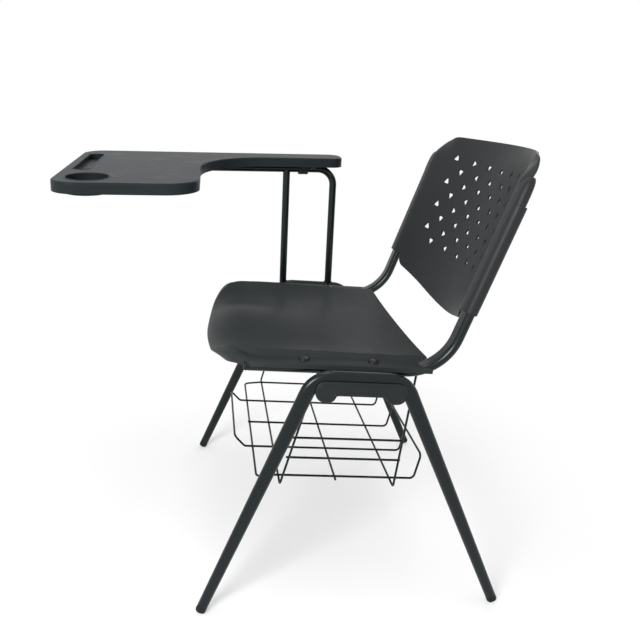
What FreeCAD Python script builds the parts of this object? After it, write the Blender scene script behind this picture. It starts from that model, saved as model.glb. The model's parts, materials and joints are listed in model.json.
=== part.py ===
import FreeCAD, Part
import math
import os
import types

import Sketcher
from FreeCAD import Placement, Rotation, Vector

# Training chair with a flip-up writing tablet on its right and a wire book basket below the seat.
# Millimetres. +Z is up, the sitter faces -Y, and +X is the sitter's left.

doc = FreeCAD.newDocument("tablet_arm_chair")

# Driving dimensions, in millimetres and degrees. A line in quotes is a formula of the sheet.
sizes = {
    # leg frames: an upside-down U of tapered flat-oval tube on each side
    "leg_stand_off": 21.5,
    "leg_splay_out": 13.0,
    "leg_spread_top": "=rail_spacing + rail_width + leg_tube_width + 2 * leg_stand_off",
    "leg_spread_floor": "=leg_spread_top + 2 * leg_splay_out",
    "leg_top_height": 424.0,
    "leg_top_length": 149.0,
    "leg_bend_radius": 42.0,
    "leg_tube_depth": 25.0,
    "leg_tube_width": 16.0,
    "leg_end_depth": 18.0,
    "leg_end_width": 14.0,
    "foot_front_reach": 257.0,
    "foot_rear_reach": 263.0,
    # foot caps
    "foot_cap_length": 13.0,
    "foot_cap_round": 4.5,
    "foot_cap_flat": 0.6,
    "foot_stem_inset": 2.0,
    "foot_stem_length": 24.0,
    "cap_clearance": 0.15,
    # seat rails that sweep up into the back uprights
    "seat_tilt": 3.0,
    "rail_height": "=leg_top_height",
    "rail_spacing": 439.0,
    "rail_width": 30.0,
    "rail_thickness": 16.0,
    "rail_front_reach": 182.0,
    "rail_corner_reach": 150.0,
    "rail_bend_radius": 88.0,
    "back_lean": 19.3,
    "upright_length": 300.0,
    "end_plug_length": 4.0,
    "end_plug_round": 2.5,
    # cross tubes below the rails
    "cross_tube_diameter": 19.0,
    "cross_tube_offset": 47.0,
    "weld_gap": 0.2,
    # stacking bumpers inside the leg bends
    "bumper_length": 150.0,
    "bumper_shift": 2.5,
    "bumper_top_drop": 2.0,
    "bumper_bar_drop": 26.0,
    "bumper_lobe_drop": 37.5,
    "bumper_lobe_radius": 15.5,
    "bumper_plate": 4.0,
    "bumper_core_gap": 2.5,
    "bumper_core_length": "=2 * cross_tube_offset - cross_tube_diameter - 2 * bumper_core_gap",
    "bumper_clearance": 0.3,
    "bumper_bevel": 1.6,
    # seat shell
    "seat_front_reach": 250.0,
    "seat_rear_reach": 128.0,
    "seat_lip_margin": 1.5,
    "seat_width": "=rail_spacing + rail_width + 2 * seat_lip_wall + 2 * seat_lip_margin",
    "seat_wall": 4.0,
    "seat_gap": 0.25,
    "seat_flange_width": 36.0,
    "seat_lip_depth": 5.0,
    "seat_lip_wall": 3.0,
    "seat_ridge_front": 10.0,
    "seat_ridge_rear": 6.0,
    "seat_dish": 9.0,
    "seat_thigh_dip": 8.0,
    "seat_fall_length": 72.0,
    "seat_fall_drop": 44.0,
    "seat_corner_across": 160.0,
    "seat_corner_along": 80.0,
    "seat_corner_margin": 10.4,
    "seat_corner_start": "=seat_front_reach - seat_corner_along - seat_corner_margin",
    "seat_ridge_fade": 0.85,
    "seat_ridge_run": 9.0,
    "seat_flange_end": 60.0,
    "seat_flange_blend": 20.0,
    "seat_screw_front": 87.0,
    "seat_screw_rear": 31.0,
    "seat_screw_diameter": 5.0,
    "seat_screw_head": 15.0,
    "seat_screw_dome": 3.6,
    "seat_screw_length": 11.0,
    "screw_clearance": 0.15,
    # back shell
    "back_wall": 4.0,
    "back_hollow": 52.0,
    "back_edge_rest": 7.7,
    "back_edge_inset": 16.5,
    "back_edge_start": "=rail_spacing / 2 - back_edge_inset",
    "back_depth": "=back_hollow + back_edge_rest",
    "back_curve_radius": "=back_depth / 2 + back_edge_start ^ 2 / (2 * back_depth)",
    "back_edge_radius": 14.0,
    "back_edge_turn": 105.0,
    "back_flare_start": 330.0,
    "back_flare_radius": 220.0,
    "back_flare_turn": 36.0,
    "back_bottom_drop": 20.0,
    "back_bottom": "=sleeve_bottom - back_bottom_drop",
    "back_bottom_dip": 34.0,
    "back_bottom_round": 500.0,
    "back_top": 381.0,
    "back_top_rise": 54.0,
    "back_top_round": 820.0,
    "back_notch_inset": 21.5,
    "back_top_overhang": 10.5,
    "back_half_width": "=rail_spacing / 2 - back_notch_inset",
    "back_top_half_width": "=rail_spacing / 2 + back_top_overhang",
    "back_top_corner": 34.0,
    "back_bottom_corner": 18.0,
    "sleeve_wall": 3.0,
    "sleeve_clearance": 0.3,
    "sleeve_bottom": 112.0,
    "sleeve_end_wall": 3.7,
    "sleeve_top": "=upright_length + sleeve_clearance + sleeve_end_wall",
    "sleeve_cap_length": 56.0,
    "sleeve_cap_turn": 64.0,
    "hole_rows": 8.0,
    "hole_columns": 7.0,
    "hole_pitch": 52.0,
    "hole_row_pitch": 26.0,
    "hole_top_margin": 31.0,
    "hole_top_row": "=back_top - hole_top_margin",
    "hole_size": 9.4,
    "hole_corner": 2.0,
    # tablet posts and hinge bar
    "post_diameter": 16.0,
    "post_front_reach": 69.0,
    "post_rear_reach": 38.0,
    "bar_height": 700.0,
    "bar_bend_radius": 36.0,
    "bar_front_reach": 233.0,
    # tablet
    "tablet_tilt": 2.3,
    "tablet_thickness": 20.0,
    "tablet_skin": 3.5,
    "tablet_wall": 3.5,
    "tablet_gap": 0.5,
    "tablet_edge_round": 3.0,
    "tablet_outer_reach": 36.0,
    "tablet_inner_reach": 375.0,
    "tablet_front_reach": 515.0,
    "tablet_rear_reach": 53.0,
    "tablet_arm_inner": 35.0,
    "tablet_neck_reach": 260.0,
    "tablet_neck_radius": 146.0,
    "tablet_front_corner": 46.0,
    "tablet_inner_corner": 60.0,
    "tablet_arm_corner": 26.0,
    "cup_radius": 37.3,
    "cup_depth": 23.0,
    "cup_side_margin": 23.7,
    "cup_front_margin": 21.7,
    "cup_across": "=tablet_inner_reach - cup_radius - cup_side_margin",
    "cup_forward": "=tablet_front_reach - cup_radius - cup_front_margin",
    "tray_length": 206.0,
    "tray_width": 30.0,
    "tray_depth": 10.0,
    "tray_side_margin": 65.0,
    "tray_front_margin": 18.0,
    "tray_across": "=tray_length / 2 + tray_side_margin - tablet_outer_reach",
    "tray_forward": "=tablet_front_reach - tray_width / 2 - tray_front_margin",
    "tray_corner": 13.0,
    "rib_wall": 2.6,
    # hinge saddle under the tablet and its stop on the bar
    "saddle_length": 21.0,
    "saddle_stop_gap": 1.5,
    "saddle_centre": "=stop_centre + stop_length / 2 + saddle_stop_gap + saddle_length / 2",
    "saddle_wall": 4.0,
    "saddle_half_width": 26.0,
    "saddle_ear": 4.0,
    "hinge_clearance": 0.3,
    "saddle_screw_across": 19.0,
    "saddle_screw_diameter": 4.0,
    "saddle_screw_head": 8.0,
    "saddle_screw_dome": 2.4,
    "saddle_screw_length": 14.0,
    "stop_length": 12.0,
    "stop_centre": 14.0,
    "stop_reach": 30.0,
    "stop_thickness": 5.0,
    # book basket
    "wire_diameter": 4.0,
    "wire_gap": 0.2,
    "basket_depth": 211.5,
    "basket_side_inset": 22.5,
    "basket_half_width": "=rail_spacing / 2 - hanger_bend / 2 - basket_side_inset",
    "basket_wire_pitch": 97.0,
    "basket_front_reach": 158.0,
    "basket_rear_reach": 127.0,
    "basket_rear_lip": 48.0,
    "basket_rear_lip_lean": 10.0,
    "basket_front_lip": 20.0,
    "basket_front_lip_start": 174.0,
    "basket_bend": 9.0,
    "hanger_front_reach": 118.5,
    "hanger_rear_reach": 84.0,
    "hanger_tube_gap": 2.5,
    "hanger_rear_lean": 6.5,
    "hanger_bend": 6.0,
    "cross_wire_reach": 16.5,
    "side_wire_low": 46.0,
    "side_wire_high": 84.0,
}

sheet = doc.addObject("Spreadsheet::Sheet", "dims")
for row, (alias, value) in enumerate(sizes.items(), start=1):
    sheet.set(f"A{row}", alias)
    sheet.set(f"B{row}", str(value))
    sheet.setAlias(f"B{row}", alias)
doc.recompute()
d = types.SimpleNamespace(**{alias: float(sheet.get(alias)) for alias in sizes})

parts = []


# Small helpers for placing things
def at(x=0.0, y=0.0, z=0.0):
    return Placement(Vector(x, y, z), Rotation())


def turn(axis, angle):
    return Placement(Vector(), Rotation(axis, angle))


def keep(feature, label, place):
    feature.Label = label
    feature.Placement = place
    parts.append(feature)
    return feature


axis_x = Vector(1, 0, 0)
axis_y = Vector(0, 1, 0)
axis_z = Vector(0, 0, 1)
far_cut = 1000.0

# Frames that several pieces share
seat_frame = at(z=d.rail_height) * turn(axis_x, -d.seat_tilt)
seat_top_frame = seat_frame * at(z=d.rail_thickness / 2 + d.seat_gap)
back_frame = seat_frame * at(y=d.rail_corner_reach) * turn(axis_x, d.seat_tilt - d.back_lean)
tablet_x = -d.leg_spread_top / 2
tablet_frame = at(tablet_x, 0, d.bar_height) * turn(axis_y, d.tablet_tilt)
splay = math.degrees(math.atan2((d.leg_spread_floor - d.leg_spread_top) / 2, d.leg_top_height))


def leg_plane(side):
    return at(side * d.leg_spread_top / 2, 0, d.leg_top_height) * turn(axis_y, -side * splay)


# Corner rounding for outlines and bent paths
def rounded(points, radii, closed=False):
    # a corner's radius is limited by the length of its two sides
    count = len(points)
    reaches = [0.0] * count
    for i, corner in enumerate(points):
        if radii[i] and (closed or 0 < i < count - 1):
            opening = (points[i - 1] - corner).getAngle(points[(i + 1) % count] - corner)
            reaches[i] = radii[i] / math.tan(opening / 2)
    shares = [1.0] * count
    for i in range(count if closed else count - 1):
        following = (i + 1) % count
        needed = reaches[i] + reaches[following]
        room = (points[following] - points[i]).Length
        if needed > room:
            shares[i] = min(shares[i], room / needed)
            shares[following] = min(shares[following], room / needed)
    radii = [radius * share for radius, share in zip(radii, shares)]
    starts = []
    arcs = []
    ends = []
    for i, corner in enumerate(points):
        if radii[i] == 0 or (not closed and i in (0, count - 1)):
            starts.append(corner)
            arcs.append(None)
            ends.append(corner)
            continue
        back = (points[i - 1] - corner).normalize()
        ahead = (points[(i + 1) % count] - corner).normalize()
        half = back.getAngle(ahead) / 2
        inward = (back + ahead).normalize()
        centre = corner + inward * (radii[i] / math.sin(half))
        first = corner + back * (radii[i] / math.tan(half))
        last = corner + ahead * (radii[i] / math.tan(half))
        starts.append(first)
        arcs.append(Part.Arc(first, centre - inward * radii[i], last))
        ends.append(last)
    curves = []
    for i in range(count):
        if arcs[i]:
            curves.append(arcs[i])
        following = (i + 1) % count
        if (closed or following) and (starts[following] - ends[i]).Length > 1e-6:
            curves.append(Part.LineSegment(ends[i], starts[following]))
    return curves


def flat(pairs):
    return [Vector(a, b, 0) for a, b in pairs]


def box_ring(x, y, length, width, corner):
    pairs = [(-1, -1), (1, -1), (1, 1), (-1, 1)]
    ring = [(x + a * length / 2, y + b * width / 2) for a, b in pairs]
    return rounded(flat(ring), [corner] * 4, closed=True)


# Sketch and body helpers
def new_body(name):
    return doc.addObject("PartDesign::Body", name)


def add_sketch(body, name, role, offset=Placement()):
    plane = next(f for f in body.Origin.OriginFeatures if f.Role == role)
    sketch = body.newObject("Sketcher::SketchObject", name)
    sketch.AttachmentSupport = (plane, [""])
    sketch.MapMode = "FlatFace"
    sketch.AttachmentOffset = offset
    return sketch


def outline_sketch(body, name, role, curves, offset=Placement()):
    sketch = add_sketch(body, name, role, offset)
    sketch.addGeometry(curves, False)
    return sketch


def circle_sketch(body, name, role, radius_rule, radius, centre=Vector(), offset=Placement()):
    sketch = add_sketch(body, name, role, offset)
    sketch.addGeometry(Part.Circle(centre, axis_z, radius), False)
    sketch.addConstraint(Sketcher.Constraint("Radius", 0, radius))
    sketch.setExpression("Constraints[0]", radius_rule)
    return sketch


def oval_curves(length, width):
    # flat oval, long along the second axis of its plane
    r = width / 2
    reach = length / 2 - r
    top = Part.ArcOfCircle(Part.Circle(Vector(0, reach, 0), axis_z, r), 0, math.pi)
    bottom = Part.ArcOfCircle(Part.Circle(Vector(0, -reach, 0), axis_z, r), math.pi, 2 * math.pi)
    left = Part.LineSegment(Vector(-r, reach, 0), Vector(-r, -reach, 0))
    right = Part.LineSegment(Vector(r, -reach, 0), Vector(r, reach, 0))
    return [top, left, bottom, right]


def oval_sketch(body, name, role, length_rule, width_rule, length, width, offset=Placement()):
    sketch = add_sketch(body, name, role, offset)
    sketch.addGeometry(oval_curves(length, width), False)
    for first, following in ((0, 1), (1, 2), (2, 3), (3, 0)):
        sketch.addConstraint(Sketcher.Constraint("Tangent", first, 2, following, 1))
    sketch.addConstraint(Sketcher.Constraint("PointOnObject", 0, 3, -2))
    sketch.addConstraint(Sketcher.Constraint("Symmetric", 0, 3, 2, 3, -1, 1))
    sketch.addConstraint(Sketcher.Constraint("Equal", 0, 2))
    radius = sketch.addConstraint(Sketcher.Constraint("Radius", 0, width / 2))
    spread = sketch.addConstraint(Sketcher.Constraint("DistanceY", 2, 3, 0, 3, length - width))
    sketch.setExpression(f"Constraints[{radius}]", f"({width_rule}) / 2")
    sketch.setExpression(f"Constraints[{spread}]", f"({length_rule}) - ({width_rule})")
    return sketch


def add_pad(body, name, sketch, length_rule, reverse=False, symmetric=False):
    pad = body.newObject("PartDesign::Pad", name)
    pad.Profile = sketch
    pad.setExpression("Length", length_rule)
    pad.Reversed = reverse
    if symmetric:
        pad.SideType = "Symmetric"
    return pad


def add_pocket(body, name, sketch, length_rule=None, reverse=False):
    pocket = body.newObject("PartDesign::Pocket", name)
    pocket.Profile = sketch
    pocket.Reversed = reverse
    if length_rule:
        pocket.setExpression("Length", length_rule)
    else:
        pocket.Type = "ThroughAll"
        pocket.SideType = "Symmetric"
    before = body.Shape.Volume if body.Shape.Solids else 0.0
    doc.recompute()
    if before and pocket.Shape.Volume >= before:
        raise ValueError(f"{name} cuts nothing")
    return pocket


def add_pipe(body, name, profile, spine):
    pipe = body.newObject("PartDesign::AdditivePipe", name)
    pipe.Profile = profile
    pipe.Spine = (spine, [])
    return pipe


def add_loft(body, name, sections, ruled):
    loft = body.newObject("PartDesign::AdditiveLoft", name)
    loft.Profile = sections[0]
    loft.Sections = sections[1:]
    loft.Ruled = ruled
    return loft


# Leg frames
tilt_slope = math.tan(math.radians(d.seat_tilt))
leg_drop = d.leg_top_height / math.cos(math.radians(splay))
leg_apex = d.leg_top_length / 2
front_apex = Vector(-leg_apex, leg_apex * tilt_slope, 0)
rear_apex = Vector(leg_apex, -leg_apex * tilt_slope, 0)
front_floor = Vector(-d.foot_front_reach, -leg_drop, 0)
rear_floor = Vector(d.foot_rear_reach, -leg_drop, 0)


def bend_ends(corner, back, ahead, radius):
    a = (back - corner).normalize()
    b = (ahead - corner).normalize()
    reach = radius / math.tan(a.getAngle(b) / 2)
    return corner + a * reach, corner + b * reach


front_bend_low = bend_ends(front_apex, front_floor, rear_apex, d.leg_bend_radius)[0]
rear_bend_low = bend_ends(rear_apex, front_apex, rear_floor, d.leg_bend_radius)[1]


def across_leg(point, upper, lower):
    # plane square to a leg, with its second axis in the plane of the U
    run = upper - lower
    angle = math.degrees(math.atan2(run.y, run.x)) - 90
    return Placement(Vector(0, point.x, point.y), Rotation(axis_x, angle))


def foot_height(run):
    # height of the middle of the cap's end, so that its rounded inner corner stands on the floor
    lean = math.acos(run.y)
    inner = d.leg_end_depth / 2 - d.foot_cap_round
    return inner * math.sin(lean) + d.foot_cap_round * (1 - math.cos(lean)) - d.foot_cap_flat


def leg_end(floor_point, bend_point):
    run = (bend_point - floor_point).normalize()
    return floor_point + run * (foot_height(run) / run.y + d.foot_cap_length + d.cap_clearance)


stem_shrink = 2 * d.foot_stem_inset


def leg_frame(side, label):
    body = new_body(label)
    crown = [front_bend_low, front_apex, rear_apex, rear_bend_low]
    radii = [0, d.leg_bend_radius, d.leg_bend_radius, 0]
    spine = outline_sketch(body, label + "_crown_line", "YZ_Plane", rounded(crown, radii))
    place = across_leg(front_bend_low, front_bend_low, front_floor)
    depth, width = "dims.leg_tube_depth", "dims.leg_tube_width"
    profile = oval_sketch(
        body, label + "_crown_section", "XY_Plane", depth, width, d.leg_tube_depth, d.leg_tube_width, place
    )
    add_pipe(body, label + "_crown", profile, spine)
    for name, top, floor_point in (("front", front_bend_low, front_floor), ("rear", rear_bend_low, rear_floor)):
        end = leg_end(floor_point, top)
        upper = oval_sketch(
            body, f"{label}_{name}_top", "XY_Plane", depth, width, d.leg_tube_depth, d.leg_tube_width,
            across_leg(top, top, floor_point),
        )
        lower = oval_sketch(
            body, f"{label}_{name}_end", "XY_Plane", "dims.leg_end_depth", "dims.leg_end_width",
            d.leg_end_depth, d.leg_end_width, across_leg(end, top, floor_point),
        )
        add_loft(body, f"{label}_{name}_leg", [upper, lower], True)
        doc.recompute()
        bore = oval_curves(
            d.leg_end_depth - stem_shrink + 2 * d.cap_clearance, d.leg_end_width - stem_shrink + 2 * d.cap_clearance
        )
        socket = outline_sketch(body, f"{label}_{name}_bore", "XY_Plane", bore, across_leg(end, top, floor_point))
        add_pocket(body, f"{label}_{name}_socket", socket, "dims.foot_stem_length + dims.cap_clearance", reverse=True)
    return keep(body, label, leg_plane(side))


# Foot caps: flush with the leg end and rounded, with a stem up the tube and a small flat on the floor
def foot_cap(side, floor_point, bend_point, label):
    body = new_body(label + "_plug")
    outer = oval_sketch(
        body, label + "_outer", "XY_Plane", "dims.leg_end_depth", "dims.leg_end_width",
        d.leg_end_depth, d.leg_end_width,
    )
    block = add_pad(body, label + "_block", outer, "dims.foot_cap_length")
    doc.recompute()
    rim = [
        f"Edge{i}" for i, e in enumerate(block.Shape.Edges, start=1)
        if all(abs(v.Z) < 1e-6 for v in e.Vertexes)
    ]
    soft = body.newObject("PartDesign::Fillet", label + "_round")
    soft.Base = (block, rim)
    soft.setExpression("Radius", "dims.foot_cap_round")
    doc.recompute()
    stem = outline_sketch(
        body, label + "_stem_line", "XY_Plane",
        oval_curves(d.leg_end_depth - stem_shrink, d.leg_end_width - stem_shrink), at(z=d.foot_cap_length),
    )
    add_pad(body, label + "_stem", stem, "dims.foot_stem_length")
    run = (bend_point - floor_point).normalize()
    foot = floor_point + run * (foot_height(run) / run.y)
    angle = math.degrees(math.atan2(run.y, run.x)) - 90
    place = leg_plane(side) * Placement(Vector(0, foot.x, foot.y), Rotation(axis_x, angle))
    body.Placement = place
    ground = doc.addObject("Part::Box", label + "_ground")
    ground.Length = far_cut
    ground.Width = far_cut
    ground.Height = far_cut
    ground.Placement = at(place.Base.x - far_cut / 2, place.Base.y - far_cut / 2, -far_cut)
    cap = doc.addObject("Part::Cut", label)
    cap.Base = body
    cap.Tool = ground
    return keep(cap, label, Placement())


for side, word in ((1, "left"), (-1, "right")):
    right_leg = leg_frame(side, f"leg_frame_{word}")
    foot_cap(side, front_floor, front_bend_low, f"foot_cap_front_{word}")
    foot_cap(side, rear_floor, rear_bend_low, f"foot_cap_rear_{word}")


# Seat rails: flat-oval tube along the seat, swept up into the back upright
lean_from_rail = math.radians(d.back_lean - d.seat_tilt)
upright_way = Vector(math.sin(lean_from_rail), math.cos(lean_from_rail), 0)
rail_start = Vector(-d.rail_front_reach, 0, 0)
rail_corner = Vector(d.rail_corner_reach, 0, 0)
upright_end = rail_corner + upright_way * d.upright_length
screw_rows = (-d.seat_screw_front, d.seat_screw_rear)


def seat_rail(side, label):
    body = new_body(label)
    line = rounded([rail_start, rail_corner, upright_end], [0, d.rail_bend_radius, 0])
    spine = outline_sketch(body, label + "_line", "YZ_Plane", line)
    profile = oval_sketch(
        body, label + "_section", "XZ_Plane", "dims.rail_width", "dims.rail_thickness",
        d.rail_width, d.rail_thickness, Placement(Vector(0, 0, d.rail_front_reach), Rotation(axis_z, 90)),
    )
    add_pipe(body, label + "_tube", profile, spine)
    doc.recompute()
    bores = add_sketch(body, label + "_bores", "XY_Plane")
    hole = d.seat_screw_diameter / 2 + d.screw_clearance
    bores.addGeometry([Part.Circle(Vector(0, y, 0), axis_z, hole) for y in screw_rows], False)
    add_pocket(body, label + "_screw_holes", bores, "dims.rail_thickness", reverse=True)
    return keep(body, label, seat_frame * at(side * d.rail_spacing / 2))


for side, word in ((1, "left"), (-1, "right")):
    seat_rail(side, f"seat_rail_{word}")


# Several solids in one node
def group(label, shapes, place):
    feature = doc.addObject("Part::Feature", label)
    feature.Shape = shapes[0] if len(shapes) == 1 else Part.makeCompound(shapes)
    return keep(feature, label, place)


def rail_plug(side):
    face = Part.Face(Part.Wire([c.toShape() for c in oval_curves(d.rail_width, d.rail_thickness)]))
    plug = face.extrude(Vector(0, 0, d.end_plug_length))
    rim = [e for e in plug.Edges if min(v.Z for v in e.Vertexes) > d.end_plug_length - 1e-6]
    plug = plug.makeFillet(d.end_plug_round, rim)
    start = at(side * d.rail_spacing / 2, -d.rail_front_reach - d.weld_gap, 0)
    plug.Placement = start * turn(axis_x, 90) * turn(axis_z, 90)
    return plug


group("rail_end_plugs", [rail_plug(1), rail_plug(-1)], seat_frame)

# Cross tubes: two round tubes between the leg frames, with the rails lying on them
cross_drop = d.rail_thickness / 2 + d.weld_gap + d.cross_tube_diameter / 2
below_flat = d.rail_thickness / 2 + d.weld_gap - (d.leg_tube_depth - d.leg_tube_width) / 2
crown_side = math.sqrt(max(0.0, d.leg_tube_width ** 2 / 4 - below_flat ** 2))
cross_half = d.leg_spread_top / 2 - crown_side - d.weld_gap
for name, offset in (("front_cross_tube", -d.cross_tube_offset), ("rear_cross_tube", d.cross_tube_offset)):
    tube = doc.addObject("Part::Cylinder", name)
    tube.setExpression("Radius", "dims.cross_tube_diameter / 2")
    tube.Height = 2 * cross_half
    keep(tube, name, seat_frame * at(-cross_half, offset, -cross_drop) * turn(axis_y, 90))


# Stacking bumpers: a plate with two round lobes outside the bend, and a core below the tube
lobe_fillet = 0.95
bar_fillet = 0.4


def bumper_plate_curves():
    front = d.bumper_shift - d.bumper_length / 2
    rear = d.bumper_shift + d.bumper_length / 2
    lobe = 2 * d.bumper_lobe_radius
    step = d.bumper_lobe_drop - d.bumper_bar_drop
    ring = [
        (front, -d.bumper_top_drop),
        (front, -d.bumper_lobe_drop),
        (front + lobe, -d.bumper_lobe_drop),
        (front + lobe + step / 3, -d.bumper_bar_drop),
        (rear - lobe - step / 3, -d.bumper_bar_drop),
        (rear - lobe, -d.bumper_lobe_drop),
        (rear, -d.bumper_lobe_drop),
        (rear, -d.bumper_top_drop),
    ]
    side = [d.bumper_lobe_radius, d.bumper_lobe_radius, step * lobe_fillet, step * bar_fillet]
    return rounded(flat(ring), side + side[::-1], closed=True)


def stacking_bumper(side, label):
    body = new_body(label)
    plate_face = d.leg_tube_width / 2 + d.bumper_clearance
    line = outline_sketch(body, label + "_plate_line", "YZ_Plane", bumper_plate_curves(), at(z=side * plate_face))
    plate = add_pad(body, label + "_plate", line, "dims.bumper_plate", reverse=side < 0)
    doc.recompute()
    outer = side * (plate_face + d.bumper_plate)
    rim = [
        f"Edge{i}" for i, e in enumerate(plate.Shape.Edges, start=1)
        if all(abs(v.X - outer) < 1e-6 for v in e.Vertexes)
    ]
    bevel = body.newObject("PartDesign::Chamfer", label + "_bevel")
    bevel.Base = (plate, rim)
    bevel.setExpression("Size", "dims.bumper_bevel")
    doc.recompute()
    below_tube = d.leg_tube_depth / 2 + d.bumper_clearance
    core_height = d.bumper_bar_drop - below_tube
    core_line = outline_sketch(
        body, label + "_core_line", "YZ_Plane",
        box_ring(0, -below_tube - core_height / 2, d.bumper_core_length, core_height, core_height / 3),
        at(z=side * plate_face),
    )
    add_pad(body, label + "_core", core_line, "dims.leg_tube_width - dims.bumper_clearance", reverse=side > 0)
    return keep(body, label, leg_plane(side) * turn(axis_x, -d.seat_tilt))


for side, word in ((1, "left"), (-1, "right")):
    stacking_bumper(side, f"stacking_bumper_{word}")


# Seat shell: one smooth loft from the rear edge to the waterfall front
seat_half = d.seat_width / 2
ridge_x = seat_half - d.seat_lip_wall - d.seat_flange_width
fall_start = -d.seat_front_reach + d.seat_fall_length
fall_reach = d.seat_fall_length - d.seat_wall - d.seat_ridge_front / 2
thigh_x = ridge_x / 2
dish_start = 0.15
dish_span = 0.7
hollow_rear = 1.25
hollow_front = 0.75


def seat_section(y, fall):
    # y runs along the flat seat, and fall is the angle turned through at the waterfall
    run = (d.seat_rear_reach - y) / (d.seat_rear_reach - fall_start)
    over = math.sin(fall)
    fade = 1 - d.seat_ridge_fade * over
    path_y = y - fall_reach * over
    past_corner = min(1.0, max(0.0, -d.seat_corner_start - path_y) / d.seat_corner_along)
    pull = d.seat_corner_across * (1 - math.sqrt(1 - past_corner * past_corner))
    scale = (seat_half - pull) / seat_half
    path_z = -d.seat_fall_drop * (1 - math.cos(fall))
    pitch = math.atan2(d.seat_fall_drop * over, fall_reach * math.cos(fall))
    ridge = fade * (d.seat_ridge_rear + (d.seat_ridge_front - d.seat_ridge_rear) * run)
    dish = fade * d.seat_dish * math.sin(math.pi * (dish_start + dish_span * run))
    ridge_top = ridge + d.seat_wall
    past_flange = (d.seat_flange_end - d.seat_front_reach - path_y) / d.seat_flange_blend
    flange = ridge * min(1.0, max(0.0, past_flange + 0.5))
    thigh = ridge_top - dish - fade * d.seat_thigh_dip * run * run
    centre = ridge_top - dish * (hollow_rear + (hollow_front - hollow_rear) * run)

    def spot(x, z):
        return Vector(x * scale, path_y - z * math.sin(pitch), path_z + z * math.cos(pitch))

    def band(lift, edge_x, edge_z):
        half = [(thigh_x, thigh - lift), (edge_x, edge_z)]
        heights = [(-x, z) for x, z in half[::-1]] + [(0, centre - lift)] + half
        curve = Part.BSplineCurve()
        curve.interpolate([spot(x, z) for x, z in heights])
        return curve

    step = ridge_x + d.seat_ridge_run
    inner_lip = seat_half - d.seat_lip_wall
    inner_ridge = ridge_x - d.seat_wall / 2
    rim = [
        (ridge_x, ridge_top),
        (step, flange + d.seat_wall),
        (seat_half, flange + d.seat_wall),
        (seat_half, -d.seat_lip_depth),
        (inner_lip, -d.seat_lip_depth),
        (inner_lip, flange),
        (step - d.seat_wall / 4, flange),
        (inner_ridge, ridge),
    ]
    upper = band(0.0, ridge_x, ridge_top)
    lower = band(d.seat_wall, inner_ridge, ridge)
    lower.reverse()
    right = [Part.makeLine(spot(*a), spot(*b)) for a, b in zip(rim, rim[1:])]
    mirror = [(-x, z) for x, z in rim[::-1]]
    left = [Part.makeLine(spot(*a), spot(*b)) for a, b in zip(mirror, mirror[1:])]
    return Part.Wire([upper.toShape()] + right + [lower.toShape()] + left)


flat_steps = 12
fall_angles = (10, 20, 35, 48, 58, 65, 70)
seat_run = d.seat_rear_reach - fall_start
stations = [(d.seat_rear_reach - seat_run * i / flat_steps, 0.0) for i in range(flat_steps + 1)]
stations += [(fall_start, math.radians(angle)) for angle in fall_angles]
shell = Part.makeLoft([seat_section(*station) for station in stations], True, False)
hole = d.seat_screw_diameter / 2 + d.screw_clearance
slack = d.seat_gap / 2
rail_drop = Vector(0, 0, -d.rail_thickness / 2 - d.seat_gap)
plug_start = rail_start - Vector(d.end_plug_length + 2 * d.weld_gap, 0, 0)
for side in (-1, 1):
    across = Vector(side * d.rail_spacing / 2, 0, 0)
    line = [across + rail_drop + Vector(0, p.x, p.y) for p in (plug_start, rail_corner, upright_end)]
    path = Part.Wire([curve.toShape() for curve in rounded(line, [0, d.rail_bend_radius, 0])])
    oval = Part.Wire([c.toShape() for c in oval_curves(d.rail_width + slack, d.rail_thickness + slack)])
    oval.Placement = Placement(line[0], Rotation()) * turn(axis_x, 90) * turn(axis_z, 90)
    shell = shell.cut(path.makePipeShell([oval], True, False))
    for y in screw_rows:
        shell = shell.cut(Part.makeCylinder(hole, 4 * d.seat_wall, across + Vector(0, y, -2 * d.seat_wall)))
group("seat_shell", [shell], seat_top_frame)


# Dome-headed screws that hold the seat flange to the rails
def dome_screw(head, dome, shank, length):
    # head underside at the origin, shank along -Z
    ball = (head * head / 4 + dome * dome) / (2 * dome)
    shell_point = Vector(ball * math.sin(math.asin(head / 2 / ball) / 2), 0, 0)
    shell_point.z = dome - ball + math.sqrt(ball * ball - shell_point.x * shell_point.x)
    crown = Part.Arc(Vector(0, 0, dome), shell_point, Vector(head / 2, 0, 0)).toShape()
    corners = [(head / 2, 0), (shank / 2, 0), (shank / 2, -length), (0, -length), (0, dome)]
    lines = [Part.makeLine(Vector(a, 0, b), Vector(p, 0, q)) for (a, b), (p, q) in zip(corners, corners[1:])]
    face = Part.Face(Part.Wire([crown] + lines))
    return face.revolve(Vector(), axis_z, 360)


screws = []
for x in (-d.rail_spacing / 2, d.rail_spacing / 2):
    for y in screw_rows:
        screw = dome_screw(d.seat_screw_head, d.seat_screw_dome, d.seat_screw_diameter, d.seat_screw_length)
        screw.Placement = at(x, y, d.seat_wall + d.screw_clearance)
        screws.append(screw)
group("seat_screws", screws, seat_top_frame)


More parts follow.
